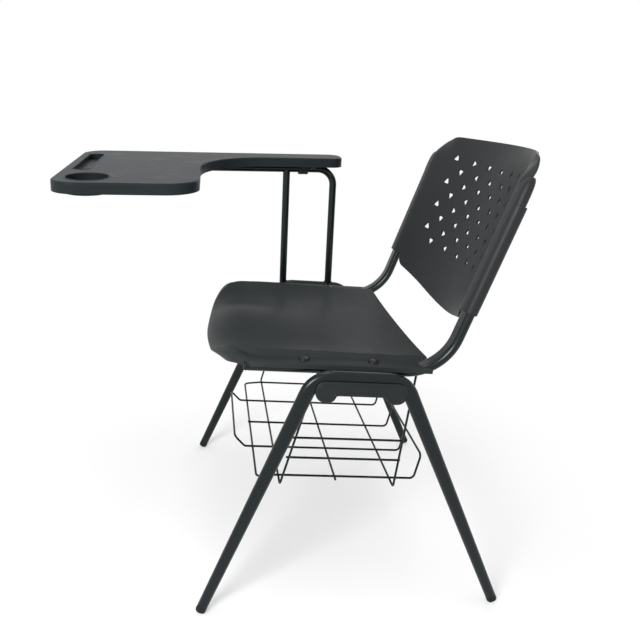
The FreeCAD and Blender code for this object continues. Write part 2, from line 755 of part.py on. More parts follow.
# Back shell: a hollow sweep that flares at the top, pierced, with a sleeve over each upright
def back_section():
    # plan view: one wide hollow arc whose edges turn back round the uprights
    arc_centre = d.back_hollow - d.back_curve_radius
    join = math.asin(d.back_edge_start / d.back_curve_radius)
    end = join - math.radians(d.back_edge_turn)
    hub = d.back_curve_radius + d.back_edge_radius

    def on_arc(offset, angle):
        radius = d.back_curve_radius + offset
        return Vector(radius * math.sin(angle), arc_centre + radius * math.cos(angle), 0)

    def on_edge(side, offset, angle):
        radius = d.back_edge_radius - offset
        x = hub * math.sin(join) - radius * math.sin(angle)
        return Vector(side * x, arc_centre + hub * math.cos(join) - radius * math.cos(angle), 0)

    def face(offset):
        middle = (join + end) / 2
        curves = [Part.Arc(on_arc(offset, -join), on_arc(offset, 0), on_arc(offset, join))]
        for side in (1, -1):
            curves.append(Part.Arc(*[on_edge(side, offset, angle) for angle in (join, middle, end)]))
        return curves

    half = d.back_wall / 2
    ends = [Part.LineSegment(on_edge(side, -half, end), on_edge(side, half, end)) for side in (1, -1)]
    return face(-half) + face(half) + ends


def back_outline(low):
    wide, slim = d.back_top_half_width, d.back_half_width
    notch = d.sleeve_bottom + d.sleeve_wall
    half_ring = [
        (wide, d.back_top, d.back_top_corner),
        (wide, notch, 0.0),
        (slim, notch, 0.0),
        (slim, d.back_bottom, d.back_bottom_corner),
    ]
    mirrored = [(-x, z, r) for x, z, r in half_ring[::-1]]
    peak = [(0.0, d.back_top + d.back_top_rise, d.back_top_round)]
    ring = half_ring + [(0.0, low, d.back_bottom_round)] + mirrored + peak
    return rounded(flat([(x, z) for x, z, r in ring]), [r for x, z, r in ring], closed=True)


def triangle_punch(x, z, quarter_turns):
    corners = []
    for k in range(3):
        angle = math.radians(90 * quarter_turns + 120 * k)
        corners.append(Vector(x + d.hole_size * math.cos(angle), 0, z + d.hole_size * math.sin(angle)))
    wire = Part.Wire([c.toShape() for c in rounded(corners, [d.hole_corner] * 3, closed=True)])
    return Part.Face(wire).extrude(Vector(0, d.back_curve_radius, 0))


cap_steps = 4


def sleeve_cap(body, x, word):
    # domed end that leans forward into the shell as it closes
    shrink = d.sleeve_wall
    grow = 2 * (d.sleeve_wall + d.sleeve_clearance) - shrink
    sections = []
    for step in range(cap_steps + 1):
        share = math.sin(math.radians(d.sleeve_cap_turn) * step / cap_steps)
        scale = 1 - share ** 5
        depth = (d.rail_thickness + grow) * scale
        forward = (d.rail_thickness + grow - depth) / 2
        place = Placement(Vector(x, -forward, d.sleeve_top + d.sleeve_cap_length * share), Rotation(axis_z, 90))
        width = (d.rail_width + grow) * scale
        curves = oval_curves(width, depth)
        sections.append(outline_sketch(body, f"sleeve_cap_{word}_{step}", "XY_Plane", curves, place))
    return add_loft(body, f"sleeve_cap_{word}", sections, False)


def back_shell():
    body = new_body("back_body")
    low = d.back_bottom - d.back_bottom_dip
    section = outline_sketch(body, "back_section", "XY_Plane", back_section(), at(z=low))
    bend = Vector(0, d.back_flare_start, 0)
    turn_to = math.radians(d.back_flare_turn)

    def on_flare(angle):
        return bend + Vector(1 - math.cos(angle), math.sin(angle), 0) * d.back_flare_radius

    line = [Part.LineSegment(Vector(0, low, 0), bend), Part.Arc(bend, on_flare(turn_to / 2), on_flare(turn_to))]
    spine = outline_sketch(body, "back_line", "YZ_Plane", line)
    add_pipe(body, "back_sweep", section, spine)
    doc.recompute()
    reach = d.back_curve_radius
    frame_ring = box_ring(0.0, low + reach / 2, 2 * reach, 3 * reach, 0.0)
    trim = outline_sketch(body, "back_outline", "XZ_Plane", frame_ring + back_outline(low))
    add_pocket(body, "back_trim", trim)
    sleeve_rule = "2 * (dims.sleeve_wall + dims.sleeve_clearance)"
    grow = 2 * (d.sleeve_wall + d.sleeve_clearance)
    slack = 2 * d.sleeve_clearance
    for side, word in ((1, "left"), (-1, "right")):
        x = side * d.rail_spacing / 2
        foot = Placement(Vector(x, 0, d.sleeve_bottom), Rotation(axis_z, 90))
        sleeve = oval_sketch(
            body, f"sleeve_{word}", "XY_Plane", f"dims.rail_width + {sleeve_rule}",
            f"dims.rail_thickness + {sleeve_rule}", d.rail_width + grow, d.rail_thickness + grow, foot,
        )
        add_pad(body, f"sleeve_{word}_wall", sleeve, "dims.sleeve_top - dims.sleeve_bottom")
        sleeve_cap(body, x, word)
        doc.recompute()
        socket = oval_sketch(
            body, f"socket_{word}", "XY_Plane", "dims.rail_width + 2 * dims.sleeve_clearance",
            "dims.rail_thickness + 2 * dims.sleeve_clearance", d.rail_width + slack, d.rail_thickness + slack, foot,
        )
        depth = "dims.upright_length + dims.sleeve_clearance - dims.sleeve_bottom"
        add_pocket(body, f"socket_{word}_cut", socket, depth, reverse=True)
    body.Placement = back_frame
    punches = []
    for row in range(int(d.hole_rows)):
        count = int(d.hole_columns) - row % 2
        for column in range(count):
            x = (column - (count - 1) / 2) * d.hole_pitch
            z = d.hole_top_row - row * d.hole_row_pitch
            punches.append(triangle_punch(x, z, (2 * row + 3 * column + 1) % 4))
    punch = doc.addObject("Part::Feature", "back_punches")
    punch.Shape = Part.makeCompound(punches)
    punch.Placement = back_frame * at(y=-d.back_curve_radius / 2)
    pierced = doc.addObject("Part::Cut", "back_shell")
    pierced.Base = body
    pierced.Tool = punch
    return keep(pierced, "back_shell", Placement())


back_shell()

# Tablet posts: the rear one bends forward into the hinge bar, the front one stands below it
bar_foot = d.leg_top_height + (d.leg_tube_depth - d.leg_tube_width) / 2
bar_start = Vector(d.post_rear_reach, bar_foot, 0)
bar_corner = Vector(d.post_rear_reach, d.bar_height, 0)
bar_end = Vector(-d.bar_front_reach, d.bar_height, 0)

bar_body = new_body("bar_tube")
bar_line = outline_sketch(
    bar_body, "bar_line", "YZ_Plane", rounded([bar_start, bar_corner, bar_end], [0, d.bar_bend_radius, 0])
)
bar_section = circle_sketch(
    bar_body, "bar_section", "XY_Plane", "dims.post_diameter / 2", d.post_diameter / 2,
    offset=at(0, d.post_rear_reach, bar_foot),
)
add_pipe(bar_body, "bar_pipe", bar_section, bar_line)
bar_body.Placement = at(tablet_x)

# Both posts are coped to the crown of the right leg frame, one weld gap above it
doc.recompute()
crown = doc.addObject("Part::Feature", "crown_cope")
crown.Shape = right_leg.Shape
crown.Placement = at(z=d.weld_gap) * right_leg.Placement
bar = doc.addObject("Part::Cut", "tablet_bar")
bar.Base = bar_body
bar.Tool = crown
keep(bar, "tablet_bar", Placement())

front_post = doc.addObject("Part::Cylinder", "front_post_tube")
front_post.setExpression("Radius", "dims.post_diameter / 2")
front_post.Height = d.bar_height - bar_foot
front_post.Placement = at(tablet_x, -d.post_front_reach, bar_foot)
bar_rod = doc.addObject("Part::Cylinder", "bar_rod")
bar_rod.setExpression("Radius", "dims.post_diameter / 2 + dims.weld_gap")
bar_rod.Height = far_cut
bar_rod.Placement = at(tablet_x, far_cut / 2, d.bar_height) * turn(axis_x, 90)
coped_post = doc.addObject("Part::Cut", "coped_post")
coped_post.Base = front_post
coped_post.Tool = crown
post = doc.addObject("Part::Cut", "tablet_front_post")
post.Base = coped_post
post.Tool = bar_rod
keep(post, "tablet_front_post", Placement())

plug_face = Part.Face(Part.Wire(Part.Circle(Vector(), axis_z, d.post_diameter / 2).toShape()))
bar_plug = plug_face.extrude(Vector(0, 0, d.end_plug_length))
bar_plug = bar_plug.makeFillet(d.end_plug_round, [bar_plug.Edges[2]])
group("bar_end_plug", [bar_plug], at(tablet_x, -d.bar_front_reach - d.weld_gap, d.bar_height) * turn(axis_x, 90))

# Stop tab on the bar: the tablet's underside lies on it
stop_plate = doc.addObject("Part::Box", "stop_plate")
stop_plate.setExpression("Length", "dims.stop_reach")
stop_plate.setExpression("Width", "dims.stop_length")
stop_plate.setExpression("Height", "dims.stop_thickness")
under_tablet = d.post_diameter / 2 + d.tablet_gap
stop_top = under_tablet - d.hinge_clearance
stop_plate.Placement = tablet_frame * at(0, -d.stop_centre - d.stop_length / 2, stop_top - d.stop_thickness)
stop = doc.addObject("Part::Cut", "tablet_stop")
stop.Base = stop_plate
stop.Tool = bar_rod
keep(stop, "tablet_stop", Placement())


# Tablet: a moulded board with a rim, hollow below, with a cup recess and a pencil tray
def tablet_ring(inset):
    outer = -d.tablet_outer_reach + inset
    inner = d.tablet_inner_reach - inset
    front = -d.tablet_front_reach + inset
    rear = d.tablet_rear_reach - inset
    arm = d.tablet_arm_inner - inset
    neck = -d.tablet_neck_reach - inset
    ring = [(outer, rear), (outer, front), (inner, front), (inner, neck), (arm, neck), (arm, rear)]
    radii = [d.tablet_arm_corner - inset, d.tablet_front_corner - inset, d.tablet_front_corner - inset]
    radii += [d.tablet_inner_corner - inset, d.tablet_neck_radius + inset, d.tablet_arm_corner - inset]
    return rounded(flat(ring), radii, closed=True)


arm_rib_share = 0.6
board_rib_shares = (0.25, 0.6)
pad_margin = 4.0
pad_split = 1.5


def tablet_top():
    body = new_body("tablet_top")
    under = d.post_diameter / 2 + d.tablet_gap
    top = under + d.tablet_thickness
    outline = outline_sketch(body, "tablet_outline", "XY_Plane", tablet_ring(0.0), at(z=under))
    board = add_pad(body, "tablet_board", outline, "dims.tablet_thickness")
    doc.recompute()
    rim = [
        f"Edge{i}" for i, e in enumerate(body.Shape.Edges, start=1)
        if all(abs(v.Z - top) < 1e-6 for v in e.Vertexes)
    ]
    soft = body.newObject("PartDesign::Fillet", "tablet_edge")
    soft.Base = (board, rim)
    soft.setExpression("Radius", "dims.tablet_edge_round")
    doc.recompute()
    hollow = outline_sketch(body, "tablet_hollow_line", "XY_Plane", tablet_ring(d.tablet_wall), at(z=under))
    add_pocket(body, "tablet_hollow", hollow, "dims.tablet_thickness - dims.tablet_skin", reverse=True)
    cup = Vector(d.cup_across, -d.cup_forward, 0)
    cup_wall = circle_sketch(
        body, "cup_wall_line", "XY_Plane", "dims.cup_radius + dims.tablet_wall", d.cup_radius + d.tablet_wall, cup,
        at(z=top - d.tablet_skin),
    )
    add_pad(body, "cup_wall", cup_wall, "dims.cup_depth", reverse=True)
    tray_wall = outline_sketch(
        body, "tray_wall_line", "XY_Plane",
        box_ring(
            d.tray_across, -d.tray_forward, d.tray_length + 2 * d.tablet_wall, d.tray_width + 2 * d.tablet_wall,
            d.tray_corner + d.tablet_wall,
        ),
        at(z=top - d.tablet_skin),
    )
    add_pad(body, "tray_wall", tray_wall, "dims.tray_depth", reverse=True)
    ribs = []
    arm_mid = (d.tablet_arm_inner - d.tablet_outer_reach) / 2
    arm_width = d.tablet_arm_inner + d.tablet_outer_reach - d.tablet_wall
    arm_rows = (
        d.tablet_rear_reach - d.tablet_arm_corner,
        -d.post_front_reach - d.tablet_arm_corner,
        -d.tablet_neck_reach * arm_rib_share,
    )
    for y in arm_rows:
        ribs += box_ring(arm_mid, y, arm_width, d.rib_wall, 0.0)
    board_mid = (d.tablet_inner_reach - d.tablet_outer_reach) / 2
    board_width = d.tablet_inner_reach + d.tablet_outer_reach - d.tablet_wall
    for share in board_rib_shares:
        y = -d.tablet_neck_reach - share * (d.tablet_front_reach - d.tablet_neck_reach)
        ribs += box_ring(board_mid, y, board_width, d.rib_wall, 0.0)
    ribs += box_ring(0.0, -d.saddle_centre, 2 * d.saddle_half_width, d.saddle_length + 2 * pad_margin, 0.0)
    pad_front = -d.saddle_centre + d.saddle_length / 2 + pad_margin + pad_split
    pad_rear = -d.stop_centre + d.stop_length / 2
    pad_side = d.post_diameter / 2 + pad_margin
    pad_width = d.stop_reach - d.post_diameter / 2
    pad_mid = (pad_front + pad_rear) / 2
    ribs += box_ring(pad_side + pad_width / 2, pad_mid, pad_width, pad_rear - pad_front, 0.0)
    rib_sketch = outline_sketch(body, "rib_lines", "XY_Plane", ribs, at(z=under))
    add_pad(body, "ribs", rib_sketch, "dims.tablet_thickness - dims.tablet_skin / 2")
    doc.recompute()
    cup_line = circle_sketch(body, "cup_line", "XY_Plane", "dims.cup_radius", d.cup_radius, cup, at(z=top))
    add_pocket(body, "cup_recess", cup_line, "dims.cup_depth")
    tray_line = outline_sketch(
        body, "tray_line", "XY_Plane",
        box_ring(d.tray_across, -d.tray_forward, d.tray_length, d.tray_width, d.tray_corner), at(z=top),
    )
    add_pocket(body, "tray_recess", tray_line, "dims.tray_depth")
    bores = add_sketch(body, "saddle_bores", "XY_Plane", at(z=under))
    hole = d.saddle_screw_diameter / 2 + d.screw_clearance
    for x in (-d.saddle_screw_across, d.saddle_screw_across):
        bores.addGeometry(Part.Circle(Vector(x, -d.saddle_centre, 0), axis_z, hole), False)
    add_pocket(body, "saddle_screw_holes", bores, "dims.saddle_screw_length", reverse=True)
    return keep(body, "tablet_top", tablet_frame)


tablet_top()


# Hinge saddle: a strap round the bar with an ear on each side
def hinge_saddle():
    body = new_body("hinge_saddle")
    bore = d.post_diameter / 2 + d.hinge_clearance
    outer = bore + d.saddle_wall
    under = d.post_diameter / 2 + d.tablet_gap
    ear = under - d.saddle_ear
    wide = d.saddle_half_width
    corners = flat([(-bore, 0), (-bore, under), (-wide, under), (-wide, ear), (-outer, ear), (-outer, 0)])
    other = flat([(outer, 0), (outer, ear), (wide, ear), (wide, under), (bore, under), (bore, 0)])
    curves = [Part.LineSegment(a, b) for a, b in zip(corners, corners[1:])]
    curves += [Part.Arc(Vector(-outer, 0, 0), Vector(0, -outer, 0), Vector(outer, 0, 0))]
    curves += [Part.LineSegment(a, b) for a, b in zip(other, other[1:])]
    curves += [Part.Arc(Vector(bore, 0, 0), Vector(0, -bore, 0), Vector(-bore, 0, 0))]
    strap = outline_sketch(body, "strap_line", "XZ_Plane", curves, at(z=d.saddle_centre))
    add_pad(body, "strap", strap, "dims.saddle_length", symmetric=True)
    doc.recompute()
    bores = add_sketch(body, "strap_bores", "XY_Plane", at(z=ear))
    hole = d.saddle_screw_diameter / 2 + d.screw_clearance
    for x in (-d.saddle_screw_across, d.saddle_screw_across):
        bores.addGeometry(Part.Circle(Vector(x, -d.saddle_centre, 0), axis_z, hole), False)
    add_pocket(body, "strap_holes", bores, "dims.saddle_ear", reverse=True)
    return keep(body, "hinge_saddle", tablet_frame)


hinge_saddle()

saddle_screws = []
for x in (-d.saddle_screw_across, d.saddle_screw_across):
    screw = dome_screw(d.saddle_screw_head, d.saddle_screw_dome, d.saddle_screw_diameter, d.saddle_screw_length)
    ear_under = d.post_diameter / 2 + d.tablet_gap - d.saddle_ear
    screw.Placement = at(x, -d.saddle_centre, ear_under) * turn(axis_x, 180)
    saddle_screws.append(screw)
group("saddle_screws", saddle_screws, tablet_frame)


# Book basket: bent round wire, welded where the wires cross
def rod(points, radii):
    path = Part.Wire([curve.toShape() for curve in rounded(points, radii)])
    start = points[0]
    section = Part.Wire(Part.Circle(start, points[1] - start, d.wire_diameter / 2).toShape())
    return path.makePipeShell([section], True, False)


layer = d.wire_diameter + d.wire_gap
basket_drop = d.rail_thickness / 2 + d.basket_depth
basket_frame = seat_frame * at(y=basket_drop * tilt_slope, z=-basket_drop)
lip_lean = math.radians(d.basket_rear_lip_lean)
lip_way = Vector(0, math.sin(lip_lean), math.cos(lip_lean))
lip_top = Vector(0, d.basket_rear_reach, 0) + lip_way * d.basket_rear_lip
lip_butt = lip_top - lip_way * layer
half_w = d.basket_half_width
bend = d.basket_bend


def half_rim(side):
    dip = d.hanger_front_reach + layer
    points = [
        Vector(side * d.wire_gap / 2, lip_top.y, lip_top.z),
        Vector(side * half_w, lip_top.y, lip_top.z),
        Vector(side * half_w, d.basket_rear_reach, 0),
        Vector(side * half_w, -dip, 0),
        Vector(side * half_w, -d.basket_front_reach, -layer),
        Vector(side * d.wire_gap / 2, -d.basket_front_reach, -layer),
    ]
    return rod(points, [0, bend, bend, bend * 3, bend, 0])


group("basket_rim_wires", [half_rim(1), half_rim(-1)], basket_frame)

lip_rise = d.basket_front_lip
lip_front = -d.basket_front_lip_start - lip_rise
pitch = d.basket_wire_pitch
inner_line = [
    Vector(-pitch, lip_butt.y, lip_butt.z),
    Vector(-pitch, d.basket_rear_reach, 0),
    Vector(-pitch, -d.basket_front_lip_start, 0),
    Vector(-pitch, lip_front, lip_rise),
    Vector(pitch, lip_front, lip_rise),
    Vector(pitch, -d.basket_front_lip_start, 0),
    Vector(pitch, d.basket_rear_reach, 0),
    Vector(pitch, lip_butt.y, lip_butt.z),
]
group("basket_inner_wire", [rod(inner_line, [0, bend, bend, bend, bend, bend, bend, 0])], basket_frame)
centre_line = [
    Vector(0, lip_butt.y, lip_butt.z),
    Vector(0, d.basket_rear_reach, 0),
    Vector(0, -d.basket_front_reach - d.wire_diameter, 0),
]
group("basket_centre_wire", [rod(centre_line, [0, bend, 0])], basket_frame)

cross_end = half_w + d.wire_diameter
cross_line = [Vector(x, -d.cross_wire_reach, -layer) for x in (-cross_end, cross_end)]
group("basket_cross_wire", [rod(cross_line, [0, 0])], basket_frame)

hanger_x = d.rail_spacing / 2 - d.hanger_bend / 2

# The front hanger leans back as far as the front cross tube lets it. Leans are from the basket's own upright.
tube_y = -d.cross_tube_offset - basket_drop * tilt_slope + d.hanger_front_reach
tube_z = basket_drop - cross_drop + layer
tube_pass = (d.cross_tube_diameter + d.wire_diameter) / 2 + d.hanger_tube_gap
front_lean = math.acos(tube_pass / math.hypot(tube_y, tube_z)) - math.atan2(tube_z, tube_y)
rear_lean = math.radians(d.hanger_rear_lean - d.seat_tilt)


def hanger_y(foot_y, lean, z):
    return foot_y + (z + layer) * math.tan(lean)


def hanger(foot_y, lean):
    end_tilt = abs(math.sin(lean))
    hanger_top = d.basket_depth - d.wire_gap - end_tilt * d.wire_diameter / 2
    top_y = hanger_y(foot_y, lean, hanger_top)
    points = [
        Vector(-hanger_x, top_y, hanger_top),
        Vector(-hanger_x, foot_y, -layer),
        Vector(hanger_x, foot_y, -layer),
        Vector(hanger_x, top_y, hanger_top),
    ]
    return rod(points, [0, d.hanger_bend, d.hanger_bend, 0])


group("basket_hanger_front", [hanger(-d.hanger_front_reach, front_lean)], basket_frame)
group("basket_hanger_rear", [hanger(d.hanger_rear_reach, rear_lean)], basket_frame)

side_wires = []
for side in (1, -1):
    for z in (d.side_wire_low, d.side_wire_high):
        x = side * (hanger_x - layer)
        front_y = hanger_y(-d.hanger_front_reach, front_lean, z) - d.wire_diameter
        rear_y = hanger_y(d.hanger_rear_reach, rear_lean, z) + d.wire_diameter
        side_wires.append(rod([Vector(x, front_y, z), Vector(x, rear_y, z)], [0, 0]))
group("basket_side_wires", side_wires, basket_frame)

doc.recompute()

# Stand the chair on its origin: the middle of its outer box, at the floor
box = FreeCAD.BoundBox()
for part in parts:
    box.add(part.Shape.optimalBoundingBox(False, False))
origin = at(-box.Center.x, -box.Center.y, 0)
for part in parts:
    part.Placement = origin * part.Placement
doc.recompute()
print("origin shift", origin.Base)

# Check every object, then write one file for each sub-part
for item in doc.Objects:
    if "Invalid" in item.State or "Error" in item.State:
        raise ValueError(f"{item.Name} failed: {item.State}")
for part in parts:
    if part.Shape.isNull() or not part.Shape.isValid() or not part.Shape.Solids:
        raise ValueError(f"{part.Label} has no valid solid")
os.makedirs("parts", exist_ok=True)
for part in parts:
    part.Shape.exportStep(f"parts/{part.Label}.step")
    print(part.Label, len(part.Shape.Solids), round(part.Shape.Volume / 1000, 2), "cm3")
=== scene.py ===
import json
import math

import bmesh
import bpy
from mathutils import Matrix, Vector
from mathutils.geometry import delaunay_2d_cdt


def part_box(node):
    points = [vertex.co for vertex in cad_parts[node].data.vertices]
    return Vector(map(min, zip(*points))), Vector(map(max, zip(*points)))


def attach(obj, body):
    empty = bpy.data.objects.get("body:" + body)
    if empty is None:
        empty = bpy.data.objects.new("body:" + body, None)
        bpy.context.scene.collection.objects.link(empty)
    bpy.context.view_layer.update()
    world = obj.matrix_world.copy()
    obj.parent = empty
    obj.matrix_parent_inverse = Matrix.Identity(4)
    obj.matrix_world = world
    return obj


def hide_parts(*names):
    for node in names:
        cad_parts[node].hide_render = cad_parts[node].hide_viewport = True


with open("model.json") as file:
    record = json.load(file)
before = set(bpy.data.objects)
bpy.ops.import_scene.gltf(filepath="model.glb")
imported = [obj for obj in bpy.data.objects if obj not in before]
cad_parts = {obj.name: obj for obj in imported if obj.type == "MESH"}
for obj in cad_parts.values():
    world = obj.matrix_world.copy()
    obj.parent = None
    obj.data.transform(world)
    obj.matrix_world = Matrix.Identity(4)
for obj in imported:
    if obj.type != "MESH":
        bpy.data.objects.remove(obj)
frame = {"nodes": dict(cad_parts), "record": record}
nodes = frame["nodes"]
scene = bpy.context.scene
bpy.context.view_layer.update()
print("stage frame:", len(nodes), "nodes")


# shader helpers
def addNode(tree, kind, **values):
    node = tree.nodes.new(kind)
    for name, value in values.items():
        setattr(node, name, value)
    return node


def feed(tree, node, socket, source):
    if isinstance(source, bpy.types.NodeSocket):
        tree.links.new(source, node.inputs[socket])
    else:
        node.inputs[socket].default_value = source


surfaceSockets = [
    ("Colour", "NodeSocketColor"),
    ("Roughness", "NodeSocketFloat"),
    ("Normal", "NodeSocketVector"),
]


def makeGroup(name, inputs):
    group = bpy.data.node_groups.new(name, "ShaderNodeTree")
    for label, kind, value in inputs:
        socket = group.interface.new_socket(label, in_out="INPUT", socket_type=kind)
        socket.default_value = value
    for label, kind in surfaceSockets:
        group.interface.new_socket(label, in_out="OUTPUT", socket_type=kind)
    return group, addNode(group, "NodeGroupInput"), addNode(group, "NodeGroupOutput")


def mathNode(tree, operation, *values):
    node = addNode(tree, "ShaderNodeMath", operation=operation)
    for index, value in enumerate(values):
        feed(tree, node, index, value)
    return node.outputs["Value"]


def noise(tree, coords, scale, detail, roughness):
    texture = addNode(tree, "ShaderNodeTexNoise")
    feed(tree, texture, "Vector", coords)
    feed(tree, texture, "Scale", scale)
    feed(tree, texture, "Detail", detail)
    feed(tree, texture, "Roughness", roughness)
    return texture.outputs["Fac"]


def mapRange(tree, value, fromLow, fromHigh, toLow, toHigh):
    node = addNode(tree, "ShaderNodeMapRange")
    feed(tree, node, "Value", value)
    feed(tree, node, "From Min", fromLow)
    feed(tree, node, "From Max", fromHigh)
    feed(tree, node, "To Min", toLow)
    feed(tree, node, "To Max", toHigh)
    return node.outputs["Result"]


def scaleColour(tree, colour, factor):
    node = addNode(tree, "ShaderNodeVectorMath", operation="SCALE")
    feed(tree, node, 0, colour)
    feed(tree, node, "Scale", factor)
    return node.outputs["Vector"]


edgeSamples = 6


def softEdges(tree, radius):
    node = addNode(tree, "ShaderNodeBevel", samples=edgeSamples)
    feed(tree, node, "Radius", radius)
    return node.outputs["Normal"]


def bump(tree, height, strength, distance, normal):
    node = addNode(tree, "ShaderNodeBump")
    feed(tree, node, "Height", height)
    feed(tree, node, "Strength", strength)
    feed(tree, node, "Distance", distance)
    feed(tree, node, "Normal", normal)
    return node.outputs["Normal"]


# moulded plastic: fine spark grain, slow colour drift and faint rubbed patches
# each noise is its scale, detail and roughness
moulded = {
    "grain": (1500.0, 3.0, 0.6),
    "pebble": (420.0, 4.0, 0.55),
    "drift": (7.0, 3.0, 0.5),
    "driftRange": (0.3, 0.7),
    "driftShade": (0.9, 1.1),
    "rub": (23.0, 5.0, 0.65),
    "rubRange": (0.52, 0.72),
    "rubPolish": -0.06,
    "depth": 0.00005,
}


def makeMouldedGrain():
    group, given, result = makeGroup("mouldedGrain", [
        ("Colour", "NodeSocketColor", (0.04, 0.042, 0.044, 1.0)),
        ("Roughness", "NodeSocketFloat", 0.5),
        ("Grain", "NodeSocketFloat", 1.0),
        ("Edge", "NodeSocketFloat", 0.0008),
    ])
    coords = addNode(group, "ShaderNodeTexCoord").outputs["Object"]
    drift = noise(group, coords, *moulded["drift"])
    shade = mapRange(group, drift, *moulded["driftRange"], *moulded["driftShade"])
    feed(group, result, "Colour", scaleColour(group, given.outputs["Colour"], shade))
    rubbed = mapRange(group, noise(group, coords, *moulded["rub"]), *moulded["rubRange"], 0.0, 1.0)
    rough = mathNode(group, "MULTIPLY_ADD", rubbed, moulded["rubPolish"], given.outputs["Roughness"])
    feed(group, result, "Roughness", rough)
    grain = noise(group, coords, *moulded["grain"])
    height = mathNode(group, "ADD", grain, noise(group, coords, *moulded["pebble"]))
    normal = softEdges(group, given.outputs["Edge"])
    feed(group, result, "Normal", bump(group, height, given.outputs["Grain"], moulded["depth"], normal))
    return group


# powder coat: orange-peel ripple with tiny pits
coat = {
    "ripple": (520.0, 2.0, 0.5),
    "pits": (1900.0, 2.0, 0.5),
    "pitRange": (0.3, 0.42),
    "pitShare": 0.25,
    "drift": (11.0, 2.0, 0.5),
    "driftRange": (0.3, 0.7),
    "driftShade": (0.88, 1.12),
    "driftRough": 0.08,
    "edge": 0.0004,
    "depth": 0.00008,
}


def makePowderCoat():
    group, given, result = makeGroup("powderCoat", [
        ("Colour", "NodeSocketColor", (0.02, 0.022, 0.023, 1.0)),
        ("Roughness", "NodeSocketFloat", 0.35),
        ("Ripple", "NodeSocketFloat", 1.0),
    ])
    coords = addNode(group, "ShaderNodeTexCoord").outputs["Object"]
    drift = noise(group, coords, *coat["drift"])
    shade = mapRange(group, drift, *coat["driftRange"], *coat["driftShade"])
    feed(group, result, "Colour", scaleColour(group, given.outputs["Colour"], shade))
    rough = mathNode(group, "MULTIPLY_ADD", drift, coat["driftRough"], given.outputs["Roughness"])
    feed(group, result, "Roughness", rough)
    pits = mapRange(group, noise(group, coords, *coat["pits"]), *coat["pitRange"], 0.0, 1.0)
    ripple = noise(group, coords, *coat["ripple"])
    height = mathNode(group, "MULTIPLY_ADD", pits, coat["pitShare"], ripple)
    normal = softEdges(group, coat["edge"])
    feed(group, result, "Normal", bump(group, height, given.outputs["Ripple"], coat["depth"], normal))
    return group


mouldedGrain = makeMouldedGrain()
powderCoat = makePowderCoat()


def makeMaterial(name, group, look):
    material = bpy.data.materials.new(name)
    material.use_nodes = True
    tree = material.node_tree
    shader = next(n for n in tree.nodes if n.type == "BSDF_PRINCIPLED")
    effect = addNode(tree, "ShaderNodeGroup", node_tree=group)
    for socket, value in look["effect"].items():
        effect.inputs[socket].default_value = value
    tree.links.new(effect.outputs["Colour"], shader.inputs["Base Color"])
    tree.links.new(effect.outputs["Roughness"], shader.inputs["Roughness"])
    tree.links.new(effect.outputs["Normal"], shader.inputs["Normal"])
    for socket, value in look["shader"].items():
        shader.inputs[socket].default_value = value
    return material


# one look for each material slot of the record
steelTint = (0.86, 0.97, 1.0, 1.0)
looks = {
    "seat_plastic": (mouldedGrain, {
        "effect": {"Colour": (0.029, 0.0322, 0.0332, 1.0), "Roughness": 0.4, "Grain": 0.5, "Edge": 0.0012},
        "shader": {"Specular IOR Level": 0.025},
    }),
    "back_plastic": (mouldedGrain, {
        "effect": {"Colour": (0.015, 0.0172, 0.0182, 1.0), "Roughness": 0.46, "Grain": 0.5, "Edge": 0.0010},
        "shader": {"Specular IOR Level": 0.22},
    }),
    "tablet_plastic": (mouldedGrain, {
        "effect": {"Colour": (0.0155, 0.0192, 0.0215, 1.0), "Roughness": 0.4, "Grain": 0.6, "Edge": 0.0010},
        "shader": {"Specular IOR Level": 0.06},
    }),
    "bumper_plastic": (mouldedGrain, {
        "effect": {"Colour": (0.0105, 0.0132, 0.0138, 1.0), "Roughness": 0.4, "Grain": 0.4, "Edge": 0.0006},
        "shader": {"Specular IOR Level": 0.24},
    }),
    "cap_plastic": (mouldedGrain, {
        "effect": {"Colour": (0.008, 0.009, 0.009, 1.0), "Roughness": 0.55, "Grain": 0.4, "Edge": 0.0008},
        "shader": {"Specular IOR Level": 0.2},
    }),
    "frame_steel": (powderCoat, {
        "effect": {"Colour": (0.0036, 0.0052, 0.0058, 1.0), "Roughness": 0.2, "Ripple": 0.4},
        "shader": {"Specular IOR Level": 0.32, "Specular Tint": steelTint},
    }),
    "basket_wire": (powderCoat, {
        "effect": {"Colour": (0.0034, 0.0046, 0.005, 1.0), "Roughness": 0.22, "Ripple": 0.3},
        "shader": {"Specular IOR Level": 0.32, "Specular Tint": steelTint},
    }),
    "screw_steel": (powderCoat, {
        "effect": {"Colour": (0.009, 0.0105, 0.011, 1.0), "Roughness": 0.3, "Ripple": 0.2},
        "shader": {"Specular IOR Level": 0.2},
    }),
}
materials = {slot: makeMaterial(slot, group, look) for slot, (group, look) in looks.items()}
for entry in frame["record"]["subparts"]:
    for holder in nodes[entry["node"]].material_slots:
        holder.material = materials[entry["material_slot"]]
print("stage finishes:", len(materials))

# mesh helpers
sharpAngle = math.radians(38)


def addPiece(name, bm, body, slot):
    bmesh.ops.recalc_face_normals(bm, faces=bm.faces[:])
    mesh = bpy.data.meshes.new(name)
    bm.to_mesh(mesh)
    bm.free()
    mesh.polygons.foreach_set("use_smooth", [True] * len(mesh.polygons))
    mesh.set_sharp_from_angle(angle=sharpAngle)
    mesh.materials.append(materials[slot])
    piece = bpy.data.objects.new(name, mesh)
    scene.collection.objects.link(piece)
    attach(piece, body)
    return piece


# fills the strips between neighbouring rows of vertices; closed rows run round to their start
def joinRows(bm, rows, closed):
    for row, after in zip(rows, rows[1:]):
        for i in range(len(row) if closed else len(row) - 1):
            j = (i + 1) % len(row)
            bm.faces.new([row[i], after[i], after[j], row[j]])


